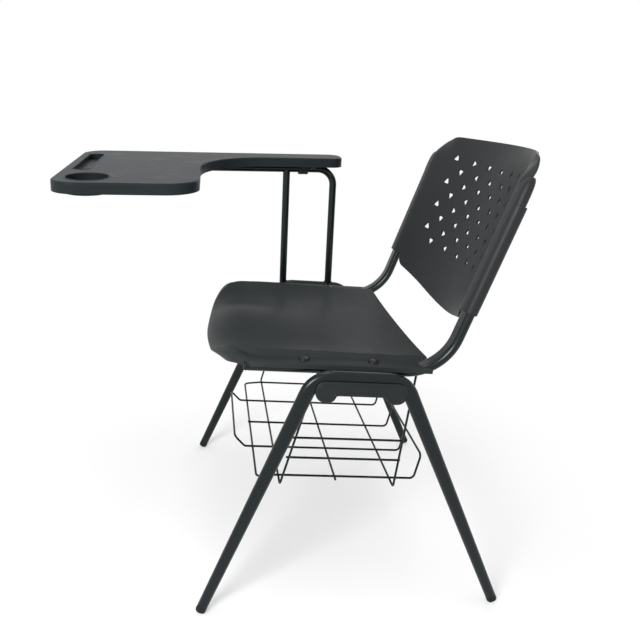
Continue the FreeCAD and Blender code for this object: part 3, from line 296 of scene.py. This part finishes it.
def eased(value, low, high):
    share = min(max((value - low) / (high - low), 0.0), 1.0)
    return share * share * (3.0 - 2.0 * share)


def spread(low, high, step):
    count = max(int(round((high - low) / step)), 1)
    return [low + (high - low) * i / count for i in range(count + 1)]


# back: the moulding remade with rolled ears at its top corners, where the CAD's edge strip ends square
back = {
    "foot": (0.22829, 0.41615),
    "lean": math.radians(19.3),
    "wall": 0.004,
    "curveRadius": 0.375,
    "hollow": 0.052,
    "edgeStart": 0.203,
    "edgeRadius": 0.014,
    "edgeTurn": math.radians(105),
    "flareStart": 0.330,
    "flareRadius": 0.400,
    "peak": 0.4060,
    "topRound": 1.200,
    "corner": 0.064,
    "cornerDrop": 0.040,
    "openRadius": 0.021,
    "opening": (0.318, 0.372),
    "ear": 0.021,
    "earRise": (0.338, 0.388),
    "earReach": (0.180, 0.240),
    "dip": 0.0653,
    "bottomRound": 0.500,
    "bottomSlope": 0.19,
    "notch": (0.190, 0.115),
    "bottomCorner": 0.016,
    "holeRows": 8,
    "holeColumns": 7,
    "holePitch": 0.052,
    "holeRowPitch": 0.026,
    "holeTopRow": 0.350,
    "holeSize": 0.0094,
    "holeCorner": 0.002,
    "holeSwings": (-60, -30, 0, 30, 60),
    "meshStep": 0.007,
    "edgeStep": 0.003,
    "rimStep": 0.006,
    "rimTurns": range(0, 91, 6),
    "rimClear": 0.003,
    "holeClear": 0.001,
    "flareRoom": 0.04,
    "hair": 1e-6,
    "mergeReach": 1e-7,
    "sleeveAcross": 0.2195,
    "sleeveSize": (0.0366, 0.0244),
    "sleeveSides": 44,
    "sleeveSpan": (0.112, 0.304),
    "sleeveForward": 0.0008,
    "lipInset": 0.0016,
    "lipHeight": 0.0008,
    "socketSize": (0.0306, 0.0166),
    "socketDepth": 0.02,
    "capSize": (0.0362, 0.0200),
    "capStep": 0.0006,
    "capLength": 0.048,
    "capLean": -0.5,
    "capRound": 3.5,
    "capTurns": range(0, 91, 5),
    "capTip": 0.02,
}
back["join"] = math.asin(back["edgeStart"] / back["curveRadius"])
back["skirt"] = back["curveRadius"] * back["join"]
back["half"] = back["skirt"] + back["edgeRadius"] * back["edgeTurn"]


# plan of the shell: across is measured along the skin, rise is the height up it
def backPlan(across, rise, offset):
    radius = back["curveRadius"]
    reach = abs(across)
    if reach <= back["skirt"]:
        angle = reach / radius
        x, y = (radius + offset) * math.sin(angle), (radius + offset) * math.cos(angle)
    else:
        edge = back["edgeRadius"] + (back["openRadius"] - back["edgeRadius"]) * eased(rise, *back["opening"])
        angle = back["join"] - (reach - back["skirt"]) / edge
        hub = radius + edge
        x = hub * math.sin(back["join"]) - (edge - offset) * math.sin(angle)
        y = hub * math.cos(back["join"]) - (edge - offset) * math.cos(angle)
    return math.copysign(x, across), y + back["hollow"] - radius


def backSpot(across, rise, offset):
    x, y = backPlan(across, rise, offset)
    flare = back["flareRadius"]
    bend = max(rise - back["flareStart"], 0.0) / flare
    roll = back["ear"] * eased(rise, *back["earRise"]) * eased(abs(across), *back["earReach"])
    height = min(rise, back["flareStart"]) + (flare - y) * math.sin(bend)
    return Vector((x, flare - (flare - y) * math.cos(bend) + roll, height))


def riseAt(across, height):
    start, flare = back["flareStart"], back["flareRadius"]
    if height <= start:
        return height
    y = backPlan(across, back["sleeveSpan"][0], 0.0)[1]
    return start + flare * math.asin((height - start) / (flare - y))


def roundedDrop(reach, limit, radius):
    share = min(max((reach - limit + radius) / radius, 0.0), 1.0)
    return radius * (1.0 - math.sqrt(1.0 - share * share))


def topRise(across):
    x = backPlan(across, back["sleeveSpan"][0], 0.0)[0]
    height = back["peak"] - back["topRound"] + math.sqrt(back["topRound"] ** 2 - x * x)
    drop = roundedDrop(abs(across), back["half"], back["corner"])
    return riseAt(across, height) - drop * back["cornerDrop"] / back["corner"]


# an arc in the middle, then a straight slope to a rounded corner, and a step up to the sleeve
def bottomRise(across):
    x = abs(backPlan(across, back["sleeveSpan"][0], 0.0)[0])
    if x > back["notch"][0]:
        return back["notch"][1]
    arcEnd = back["bottomRound"] * math.sin(math.atan(back["bottomSlope"]))
    onArc = min(x, arcEnd)
    low = back["dip"] + back["bottomRound"] - math.sqrt(back["bottomRound"] ** 2 - onArc * onArc)
    low += (x - onArc) * back["bottomSlope"]
    return low + roundedDrop(x, back["notch"][0], back["bottomCorner"])


def skinAcross(x):
    return back["curveRadius"] * math.asin(x / back["curveRadius"])


# staggered rows of rounded triangles; each points one of four ways by its row and column
def backHoles():
    holes = []
    hub, tipRadius = back["holeSize"] - 2 * back["holeCorner"], back["holeCorner"]
    for row in range(back["holeRows"]):
        count = back["holeColumns"] - row % 2
        for column in range(count):
            centreX = (column - (count - 1) / 2) * back["holePitch"]
            centreZ = back["holeTopRow"] - row * back["holeRowPitch"]
            ring = []
            for corner in range(3):
                angle = math.radians(90 * ((2 * row + 3 * column + 1) % 4) + 120 * corner)
                for swing in back["holeSwings"]:
                    tip = angle + math.radians(swing)
                    x = centreX + hub * math.cos(angle) + tipRadius * math.cos(tip)
                    z = centreZ + hub * math.sin(angle) + tipRadius * math.sin(tip)
                    ring.append((skinAcross(x), riseAt(skinAcross(x), z)))
            holes.append(ring)
    return holes


def backRim():
    half, notch, step = back["half"], skinAcross(back["notch"][0]), back["rimStep"]
    turns = [1 - math.sin(math.radians(angle)) for angle in back["rimTurns"]]
    lower = spread(0.0, notch - back["bottomCorner"], step)[:-1]
    lower += [notch - back["bottomCorner"] * turn for turn in turns]
    upper = spread(0.0, half - back["corner"], step)[:-1]
    upper += [half - back["corner"] * turn for turn in turns]
    right = [(s, bottomRise(min(s, notch - back["hair"]))) for s in lower]
    right += [(notch, back["notch"][1])]
    right += [(s, back["notch"][1]) for s in spread(notch, half, back["edgeStep"])[1:-1]]
    right += [(half, p) for p in spread(back["notch"][1], topRise(half), step)[:-1]]
    right += [(s, topRise(s)) for s in upper[::-1]]
    return right + [(-s, p) for s, p in right[-2:0:-1]]


def insideRing(ring, across, rise):
    inside = False
    for (s0, p0), (s1, p1) in zip(ring, ring[1:] + ring[:1]):
        if (p0 > rise) != (p1 > rise) and across < s0 + (rise - p0) * (s1 - s0) / (p1 - p0):
            inside = not inside
    return inside


# points of the net between rim and holes
def backGrid(middles):
    points = []
    columns = spread(-back["skirt"], back["skirt"], back["meshStep"])
    edge = spread(back["skirt"], back["half"], back["edgeStep"])[1:-1]
    rises = spread(back["dip"], back["peak"] + back["flareRoom"], back["meshStep"])
    clear = back["holeSize"] + back["holeClear"]
    for across in columns + edge + [-s for s in edge]:
        low, high = bottomRise(across) + back["rimClear"], topRise(across) - back["rimClear"]
        for rise in rises:
            spot = Vector((across, rise))
            if low < rise < high and all((spot - middle).length > clear for middle in middles):
                points.append((across, rise))
    return points


def backSkin(bm):
    holes = backHoles()
    points, edges = [], []
    for loop in [backRim()] + holes:
        first = len(points)
        points += loop
        edges += [(first + i, first + (i + 1) % len(loop)) for i in range(len(loop))]
    middles = []
    for ring in holes:
        across, rise = zip(*ring)
        middles.append(Vector((sum(across) / len(ring), sum(rise) / len(ring))))
    points += backGrid(middles)
    insideRim = 1
    flat = [Vector(point) for point in points]
    spots, _, faces, *_ = delaunay_2d_cdt(flat, edges, [], insideRim, back["mergeReach"])
    kept = []
    for face in faces:
        centre = sum((spots[i] for i in face), Vector((0, 0))) / len(face)
        near = [ring for ring, middle in zip(holes, middles) if (centre - middle).length < back["holeSize"]]
        if not any(insideRing(ring, *centre) for ring in near):
            kept.append(face)
    front = [bm.verts.new(backSpot(s.x, s.y, -back["wall"] / 2)) for s in spots]
    rear = [bm.verts.new(backSpot(s.x, s.y, back["wall"] / 2)) for s in spots]
    uses = {}
    for face in kept:
        bm.faces.new([front[i] for i in face])
        bm.faces.new([rear[i] for i in reversed(face)])
        for a, b in zip(face, face[1:] + face[:1]):
            uses.setdefault((min(a, b), max(a, b)), []).append((a, b))
    # an edge with one face is a rim, which gets a wall
    for users in uses.values():
        if len(users) == 1:
            a, b = users[0]
            bm.faces.new([front[b], front[a], rear[a], rear[b]])


def ovalRing(size, centre, height):
    bend, flat = size[1] / 2, (size[0] - size[1]) / 2
    ring = []
    for i in range(back["sleeveSides"]):
        angle = 2 * math.pi * (i + 0.5) / back["sleeveSides"]
        x = centre[0] + math.copysign(flat, math.cos(angle)) + bend * math.cos(angle)
        ring.append(Vector((x, centre[1] + bend * math.sin(angle), height)))
    return ring


def backSleeve(bm, side):
    low, high = back["sleeveSpan"]
    across = side * back["sleeveAcross"]
    wide, socket, cap = back["sleeveSize"], back["socketSize"], back["capSize"]
    axis = (across, -back["sleeveForward"])
    lip = (wide[0] - back["lipInset"], wide[1] - back["lipInset"])
    rings = [
        ovalRing(socket, (across, 0.0), low + back["socketDepth"]),
        ovalRing(socket, (across, 0.0), low),
        ovalRing(lip, axis, low),
        ovalRing(wide, axis, low + back["lipHeight"]),
        ovalRing(wide, axis, high - back["capStep"]),
    ]
    # the cap keeps the sleeve's front face and is set in at the rear
    front = axis[1] - wide[1] / 2 + cap[1] / 2
    for turn in back["capTurns"]:
        share = math.sin(math.radians(turn))
        scale = max((1 - share ** back["capRound"]) ** (1 / back["capRound"]), back["capTip"])
        centre = (across, front - back["capLean"] * cap[1] * (1 - scale) / 2)
        rings.append(ovalRing((cap[0] * scale, cap[1] * scale), centre, high + back["capLength"] * share))
    rows = [[bm.verts.new(point) for point in ring] for ring in rings]
    joinRows(bm, rows, True)
    bm.faces.new(rows[-1])


def makeBack():
    bm = bmesh.new()
    backSkin(bm)
    for side in (-1, 1):
        backSleeve(bm, side)
    low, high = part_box("back_shell")
    foot = Matrix.Translation(((low.x + high.x) / 2, *back["foot"]))
    bmesh.ops.transform(bm, matrix=foot @ Matrix.Rotation(-back["lean"], 4, "X"), verts=bm.verts[:])
    piece = addPiece("backMoulding", bm, "chair_frame", "back_plastic")
    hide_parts("back_shell")


makeBack()
print("stage back: remade")

# small moulded and welded details, each traced from the faces of the CAD node it sits on
details = {
    "roughMatch": 0.9,
    "sameFace": 0.9995,
    "levelSlack": 0.0004,
    "spotDigits": 6,
    "leastMitre": 0.5,
    "sink": 0.0001,
    "recessBead": {"offset": 0.0022, "width": 0.0030, "height": 0.0009},
    "bumperBead": {"offset": 0.0036, "width": 0.0022, "height": 0.0009},
    "weld": {"radius": 0.0019, "post": 0.008, "slack": 0.0001, "sectors": 40},
    "ringSteps": 6,
}


# the highest flat face of a node that looks roughly the given way
def flatFace(node, rough):
    polygons = nodes[node].data.polygons
    facing = [p for p in polygons if p.normal.dot(rough) > details["roughMatch"]]
    normal = max(facing, key=lambda p: p.area).normal.copy()
    level = [p for p in polygons if p.normal.dot(normal) > details["sameFace"]]
    highest = max(p.center.dot(normal) for p in level)
    return normal, [p for p in level if p.center.dot(normal) > highest - details["levelSlack"]]


def loopLength(loop):
    return sum((b - a).length for a, b in zip(loop, loop[1:] + loop[:1]))


# outline loops of a flat face, the longest last
def faceLoops(node, rough):
    normal, polygons = flatFace(node, rough)
    vertices = nodes[node].data.vertices
    following, pairs = {}, set()
    for polygon in polygons:
        corners = []
        for index in polygon.vertices:
            corners.append(tuple(round(value, details["spotDigits"]) for value in vertices[index].co))
        pairs.update(zip(corners, corners[1:] + corners[:1]))
    for a, b in pairs:
        if (b, a) not in pairs:
            following[a] = b
    loops = []
    while following:
        start, point = next(iter(following.items()))
        del following[start]
        loop = [Vector(start)]
        while point != start:
            loop.append(Vector(point))
            point = following.pop(point)
        loops.append(loop)
    return normal, sorted(loops, key=loopLength)


# the face lies to the left of each loop, so a positive offset moves into the face
def shiftedLoop(loop, normal, offset):
    moved = []
    for before, point, after in zip(loop[-1:] + loop[:-1], loop, loop[1:] + loop[:1]):
        sides = [normal.cross((b - a).normalized()) for a, b in ((before, point), (point, after))]
        inward = (sides[0] + sides[1]).normalized()
        mitre = max(inward.dot(sides[0]), details["leastMitre"])
        moved.append((point + inward * offset / mitre, inward))
    return moved


def beadLoop(bm, loop, normal, bead):
    rows = []
    for point, inward in shiftedLoop(loop, normal, bead["offset"]):
        row = []
        for step in range(details["ringSteps"] + 1):
            angle = math.pi * step / details["ringSteps"]
            lift = bead["height"] * math.sin(angle) - details["sink"]
            row.append(bm.verts.new(point + inward * bead["width"] / 2 * math.cos(angle) + normal * lift))
        rows.append(row)
    joinRows(bm, rows + rows[:1], False)


# the lowest points of a post's wall, sector by sector round its axis
def footRing(node, centre):
    weld = details["weld"]
    lowest = {}
    for vertex in nodes[node].data.vertices:
        arm = Vector((vertex.co.x - centre[0], vertex.co.y - centre[1]))
        if abs(arm.length - weld["post"]) < weld["slack"]:
            sector = int(math.atan2(arm.y, arm.x) / math.tau * weld["sectors"]) % weld["sectors"]
            if sector not in lowest or vertex.co.z < lowest[sector].z:
                lowest[sector] = vertex.co.copy()
    return [lowest[sector] for sector in sorted(lowest)]


def weldRing(bm, ring, centre):
    radius = details["weld"]["radius"]
    up = Vector((0, 0, 1))
    rows = []
    for point in ring:
        out = Vector((point.x - centre[0], point.y - centre[1], 0)).normalized()
        row = []
        for step in range(2 * details["ringSteps"]):
            angle = math.pi * step / details["ringSteps"]
            row.append(bm.verts.new(point + radius * (math.cos(angle) * out + math.sin(angle) * up)))
        rows.append(row)
    joinRows(bm, rows + rows[:1], True)


def makeDetails():
    bm = bmesh.new()
    normal, loops = faceLoops("tablet_top", Vector((0, 0, 1)))
    for loop in loops[:-1]:
        beadLoop(bm, loop, normal, details["recessBead"])
    addPiece("recessBeads", bm, "tablet", "tablet_plastic")
    for side, word in ((1, "left"), (-1, "right")):
        bm = bmesh.new()
        normal, loops = faceLoops("stacking_bumper_" + word, Vector((side, 0, 0)))
        beadLoop(bm, loops[-1], normal, details["bumperBead"])
        addPiece("bumperBead" + word.capitalize(), bm, "chair_frame", "bumper_plastic")
    bm = bmesh.new()
    low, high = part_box("tablet_front_post")
    centre = ((low.x + high.x) / 2, (low.y + high.y) / 2)
    rear = (centre[0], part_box("tablet_bar")[1].y - details["weld"]["post"])
    for node, spot in (("tablet_front_post", centre), ("tablet_bar", rear)):
        weldRing(bm, footRing(node, spot), spot)
    addPiece("postWelds", bm, "chair_frame", "frame_steel")


makeDetails()
print("stage details: beads and welds")

# seat: the shell remade with a soft rolled front, so that flange and lip melt into the corners
seat = {
    "origin": (0.078504, 0.424),
    "tilt": math.radians(3.0),
    "railTop": 0.00825,
    "half": 0.2390,
    "ridge": 0.2000,
    "ridgeRun": 0.009,
    "ridgeHeights": (0.006, 0.010),
    "wall": 0.004,
    "rear": 0.128,
    "fallStart": -0.178,
    "fallReach": 0.056,
    "fallDrop": 0.046,
    "fallTurn": math.radians(82),
    "bow": 0.007,
    "cornerStart": 0.1580,
    "cornerAlong": 0.0756,
    "cornerAcross": 0.158,
    "dish": 0.011,
    "dishPhase": (0.15, 0.7),
    "middleShare": (1.25, 0.5),
    "thighDip": 0.014,
    "flangeFade": (0.175, 0.215),
    "edgeRound": (0.0025, 0.016),
    "roundFade": (0.120, 0.215),
    "lip": 0.005,
    "lipMargin": 0.001,
    "steps": {"flat": 44, "fall": 26, "panel": 30, "run": 6, "flange": 6, "round": 7},
}


# half a section from the middle out, as distance across and height over the flange's underside
def seatSection(y, fall):
    steps = seat["steps"]
    run = (seat["rear"] - y) / (seat["rear"] - seat["fallStart"])
    over = math.sin(fall)
    forward = -(y - seat["fallReach"] * over)
    fade = 1 - eased(over, 0.0, 1.0)
    low, high = seat["ridgeHeights"]
    rise = fade * (low + (high - low) * run)
    phase, sweep = seat["dishPhase"]
    dish = fade * seat["dish"] * math.sin(math.pi * (phase + sweep * run))
    top = rise + seat["wall"]
    flange = seat["wall"] + rise * eased(forward, *seat["flangeFade"])
    # the panel's curve of fourth order meets the ridge, and has the thigh's depth half-way
    full, lost = seat["middleShare"]
    middle = -dish * (full - lost * run)
    thigh = -dish - fade * seat["thighDip"] * run * run - middle
    fourth = (-middle - 4 * thigh) / 0.75
    second = -middle - fourth
    points = []
    for step in range(steps["panel"] + 1):
        share = step / steps["panel"]
        points.append((seat["ridge"] * share, top + middle + second * share ** 2 + fourth * share ** 4))
    for step in range(1, steps["run"] + 1):
        share = step / steps["run"]
        height = top + (flange - top) * eased(share, 0.0, 1.0)
        points.append((seat["ridge"] + seat["ridgeRun"] * share, height))
    small, large = seat["edgeRound"]
    radius = small + (large - small) * eased(forward, *seat["roundFade"])
    start, end = seat["ridge"] + seat["ridgeRun"], seat["half"] - radius
    for step in range(1, steps["flange"] + 1):
        points.append((start + (end - start) * step / steps["flange"], flange))
    for step in range(1, steps["round"] + 1):
        angle = math.pi / 2 * step / steps["round"]
        points.append((end + radius * math.sin(angle), flange - radius * (1 - math.cos(angle))))
    points.append((seat["half"], min(-seat["lip"], flange - radius - seat["lipMargin"])))
    return points


# a whole section set on its path, bowed forward in the middle and drawn in at the front corners
def seatRow(y, fall):
    over = math.sin(fall)
    pathY = y - seat["fallReach"] * over
    pathZ = -seat["fallDrop"] * (1 - math.cos(fall))
    pitch = math.atan2(seat["fallDrop"] * over, seat["fallReach"] * math.cos(fall))
    past = min(max(-seat["cornerStart"] - pathY, 0.0) / seat["cornerAlong"], 1.0)
    scale = 1 - seat["cornerAcross"] * (1 - math.sqrt(1 - past * past)) / seat["half"]
    half = []
    for x, z in seatSection(y, fall):
        bow = seat["bow"] * over * (1 - (x / seat["half"]) ** 2)
        half.append(Vector((x * scale, pathY - bow - z * math.sin(pitch), pathZ + z * math.cos(pitch))))
    return [Vector((-p.x, p.y, p.z)) for p in half[:0:-1]] + half


def makeSeat():
    flat, fall = seat["steps"]["flat"], seat["steps"]["fall"]
    length = seat["fallStart"] - seat["rear"]
    stations = [(seat["rear"] + length * i / flat, 0.0) for i in range(flat)]
    stations += [(seat["fallStart"], seat["fallTurn"] * i / fall) for i in range(fall + 1)]
    bm = bmesh.new()
    upper = [[bm.verts.new(point) for point in seatRow(*station)] for station in stations]
    joinRows(bm, upper, False)
    bm.normal_update()
    down = -1 if upper[0][len(upper[0]) // 2].normal.z > 0 else 1
    lower = [[bm.verts.new(v.co + down * seat["wall"] * v.normal) for v in row] for row in upper]
    joinRows(bm, lower, False)
    for end in (0, -1):
        joinRows(bm, [upper[end], lower[end]], False)
        joinRows(bm, [[row[end] for row in upper], [row[end] for row in lower]], False)
    low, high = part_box("seat_shell")
    origin = Matrix.Translation(((low.x + high.x) / 2, *seat["origin"]))
    tilted = origin @ Matrix.Rotation(-seat["tilt"], 4, "X")
    bmesh.ops.transform(bm, matrix=tilted @ Matrix.Translation((0, 0, seat["railTop"])), verts=bm.verts[:])
    piece = addPiece("seatMoulding", bm, "chair_frame", "seat_plastic")
    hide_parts("seat_shell")


makeSeat()
print("stage seat: remade")

# seat screws: wide plain domes, given as radius and height
screwHead = {
    "profile": [(0.0092, -0.0005), (0.0092, 0.0006), (0.0084, 0.0021), (0.0064, 0.0034), (0.0034, 0.0042)],
    "height": 0.0044,
    "dome": 0.0036,
    "segments": 32,
}


def addScrewHead(bm, place):
    rows = []
    for radius, height in screwHead["profile"]:
        row = []
        for i in range(screwHead["segments"]):
            angle = math.tau * i / screwHead["segments"]
            spot = Vector((radius * math.cos(angle), radius * math.sin(angle), height))
            row.append(bm.verts.new(place @ spot))
        rows.append(row)
    joinRows(bm, rows, True)
    tip = bm.verts.new(place @ Vector((0, 0, screwHead["height"])))
    for a, b in zip(rows[-1], rows[-1][1:] + rows[-1][:1]):
        bm.faces.new([a, b, tip])
    bm.faces.new(rows[0])


def makeScrewHeads():
    low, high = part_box("seat_screws")
    middle = (low + high) / 2
    sunk = Matrix.Rotation(-seat["tilt"], 4, "X") @ Matrix.Translation((0, 0, -screwHead["dome"]))
    bm = bmesh.new()
    for across, along in ((-1, -1), (-1, 1), (1, -1), (1, 1)):
        own = [
            v.co for v in nodes["seat_screws"].data.vertices
            if (v.co.x - middle.x) * across > 0 and (v.co.y - middle.y) * along > 0
        ]
        top = max(own, key=lambda point: point.z)
        addScrewHead(bm, Matrix.Translation(top) @ sunk)
    piece = addPiece("screwHeads", bm, "chair_frame", "screw_steel")
    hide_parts("seat_screws")


makeScrewHeads()
print("stage screws: four heads")

# studio: a pale floor that runs out into a white room, and three soft lamps
studio = {
    "floorSize": 60.0,
    "floorColour": (0.99, 0.99, 0.99, 1.0),
    "floorRoughness": 0.9,
    "floorFade": (0.15, 0.85),
    "roomColour": (1.0, 1.0, 1.0, 1.0),
    "roomStrength": 0.7,
    "lamps": [
        {"name": "overhead", "at": (0.1, -0.1, 2.6), "aim": (0.0, 0.0, 0.5), "size": 0.9, "power": 8.0},
        {"name": "key", "at": (2.0, -1.3, 1.5), "aim": (0.0, 0.0, 0.5), "size": 1.1, "power": 54.0},
        {"name": "rim", "at": (-1.9, 1.4, 1.6), "aim": (0.0, 0.1, 0.6), "size": 1.4, "power": 6.0},
    ],
}


# one where a ray comes from the camera, a mirror or a window, and zero for the light that falls on things
def seenDirectly(tree):
    path = addNode(tree, "ShaderNodeLightPath").outputs
    seen = mathNode(tree, "MAXIMUM", path["Is Camera Ray"], path["Is Glossy Ray"])
    return mathNode(tree, "MAXIMUM", seen, path["Is Transmission Ray"])


def makeFloor():
    mesh = bpy.data.meshes.new("floor")
    reach = studio["floorSize"] / 2
    corners = [(-reach, -reach, 0), (reach, -reach, 0), (reach, reach, 0), (-reach, reach, 0)]
    mesh.from_pydata(corners, [], [(0, 1, 2, 3)])
    floor = bpy.data.objects.new("floor", mesh)
    scene.collection.objects.link(floor)
    paint = bpy.data.materials.new("floorPaint")
    paint.use_nodes = True
    tree = paint.node_tree
    shader = next(n for n in tree.nodes if n.type == "BSDF_PRINCIPLED")
    output = next(n for n in tree.nodes if n.type == "OUTPUT_MATERIAL")
    shader.inputs["Base Color"].default_value = studio["floorColour"]
    shader.inputs["Roughness"].default_value = studio["floorRoughness"]
    shader.inputs["Specular IOR Level"].default_value = 0.0
    distance = addNode(tree, "ShaderNodeVectorMath", operation="LENGTH")
    feed(tree, distance, 0, addNode(tree, "ShaderNodeTexCoord").outputs["Object"])
    outward = mapRange(tree, distance.outputs["Value"], *studio["floorFade"], 0.0, 1.0)
    white = addNode(tree, "ShaderNodeEmission")
    mix = addNode(tree, "ShaderNodeMixShader")
    feed(tree, mix, 0, mathNode(tree, "MULTIPLY", outward, seenDirectly(tree)))
    tree.links.new(shader.outputs[0], mix.inputs[1])
    tree.links.new(white.outputs[0], mix.inputs[2])
    tree.links.new(mix.outputs[0], output.inputs["Surface"])
    mesh.materials.append(paint)


def makeRoom():
    room = bpy.data.worlds.new("room")
    room.use_nodes = True
    tree = room.node_tree
    background = next(n for n in tree.nodes if n.type == "BACKGROUND")
    background.inputs["Color"].default_value = studio["roomColour"]
    strength = mapRange(tree, seenDirectly(tree), 0.0, 1.0, studio["roomStrength"], 1.0)
    feed(tree, background, "Strength", strength)
    scene.world = room


def makeLamp(lamp):
    data = bpy.data.lights.new(lamp["name"], "AREA")
    data.shape = "DISK"
    data.size = lamp["size"]
    data.energy = lamp["power"]
    light = bpy.data.objects.new(lamp["name"], data)
    light.location = lamp["at"]
    light.rotation_euler = (Vector(lamp["aim"]) - Vector(lamp["at"])).to_track_quat("-Z", "Y").to_euler()
    scene.collection.objects.link(light)


makeFloor()
makeRoom()
for lamp in studio["lamps"]:
    makeLamp(lamp)
scene.view_settings.view_transform = "Standard"
print("stage studio:", len(studio["lamps"]), "lamps")

# camera: at the sitter's left, a little above the tablet, as in the photograph
view = {
    "at": (1.2541, -0.1669, 0.8713),
    "yaw": 0.0883,
    "pitch": -0.2546,
    "roll": 0.0270,
    "lens": 37.775,
    "shift": (0.0856, -0.0872),
}
ahead = Vector((
    -math.cos(view["yaw"]) * math.cos(view["pitch"]),
    math.sin(view["yaw"]) * math.cos(view["pitch"]),
    math.sin(view["pitch"]),
))
level = ahead.cross(Vector((0, 0, 1))).normalized()
upright = level.cross(ahead)
right = math.cos(view["roll"]) * level + math.sin(view["roll"]) * upright
above = right.cross(ahead)
cameraData = bpy.data.cameras.new("camera")
cameraData.lens = view["lens"]
cameraData.shift_x, cameraData.shift_y = view["shift"]
camera = bpy.data.objects.new("camera", cameraData)
turn = Matrix((right, above, -ahead)).transposed().to_4x4()
camera.matrix_world = Matrix.Translation(view["at"]) @ turn
scene.collection.objects.link(camera)
scene.camera = camera

print("stage camera: done")
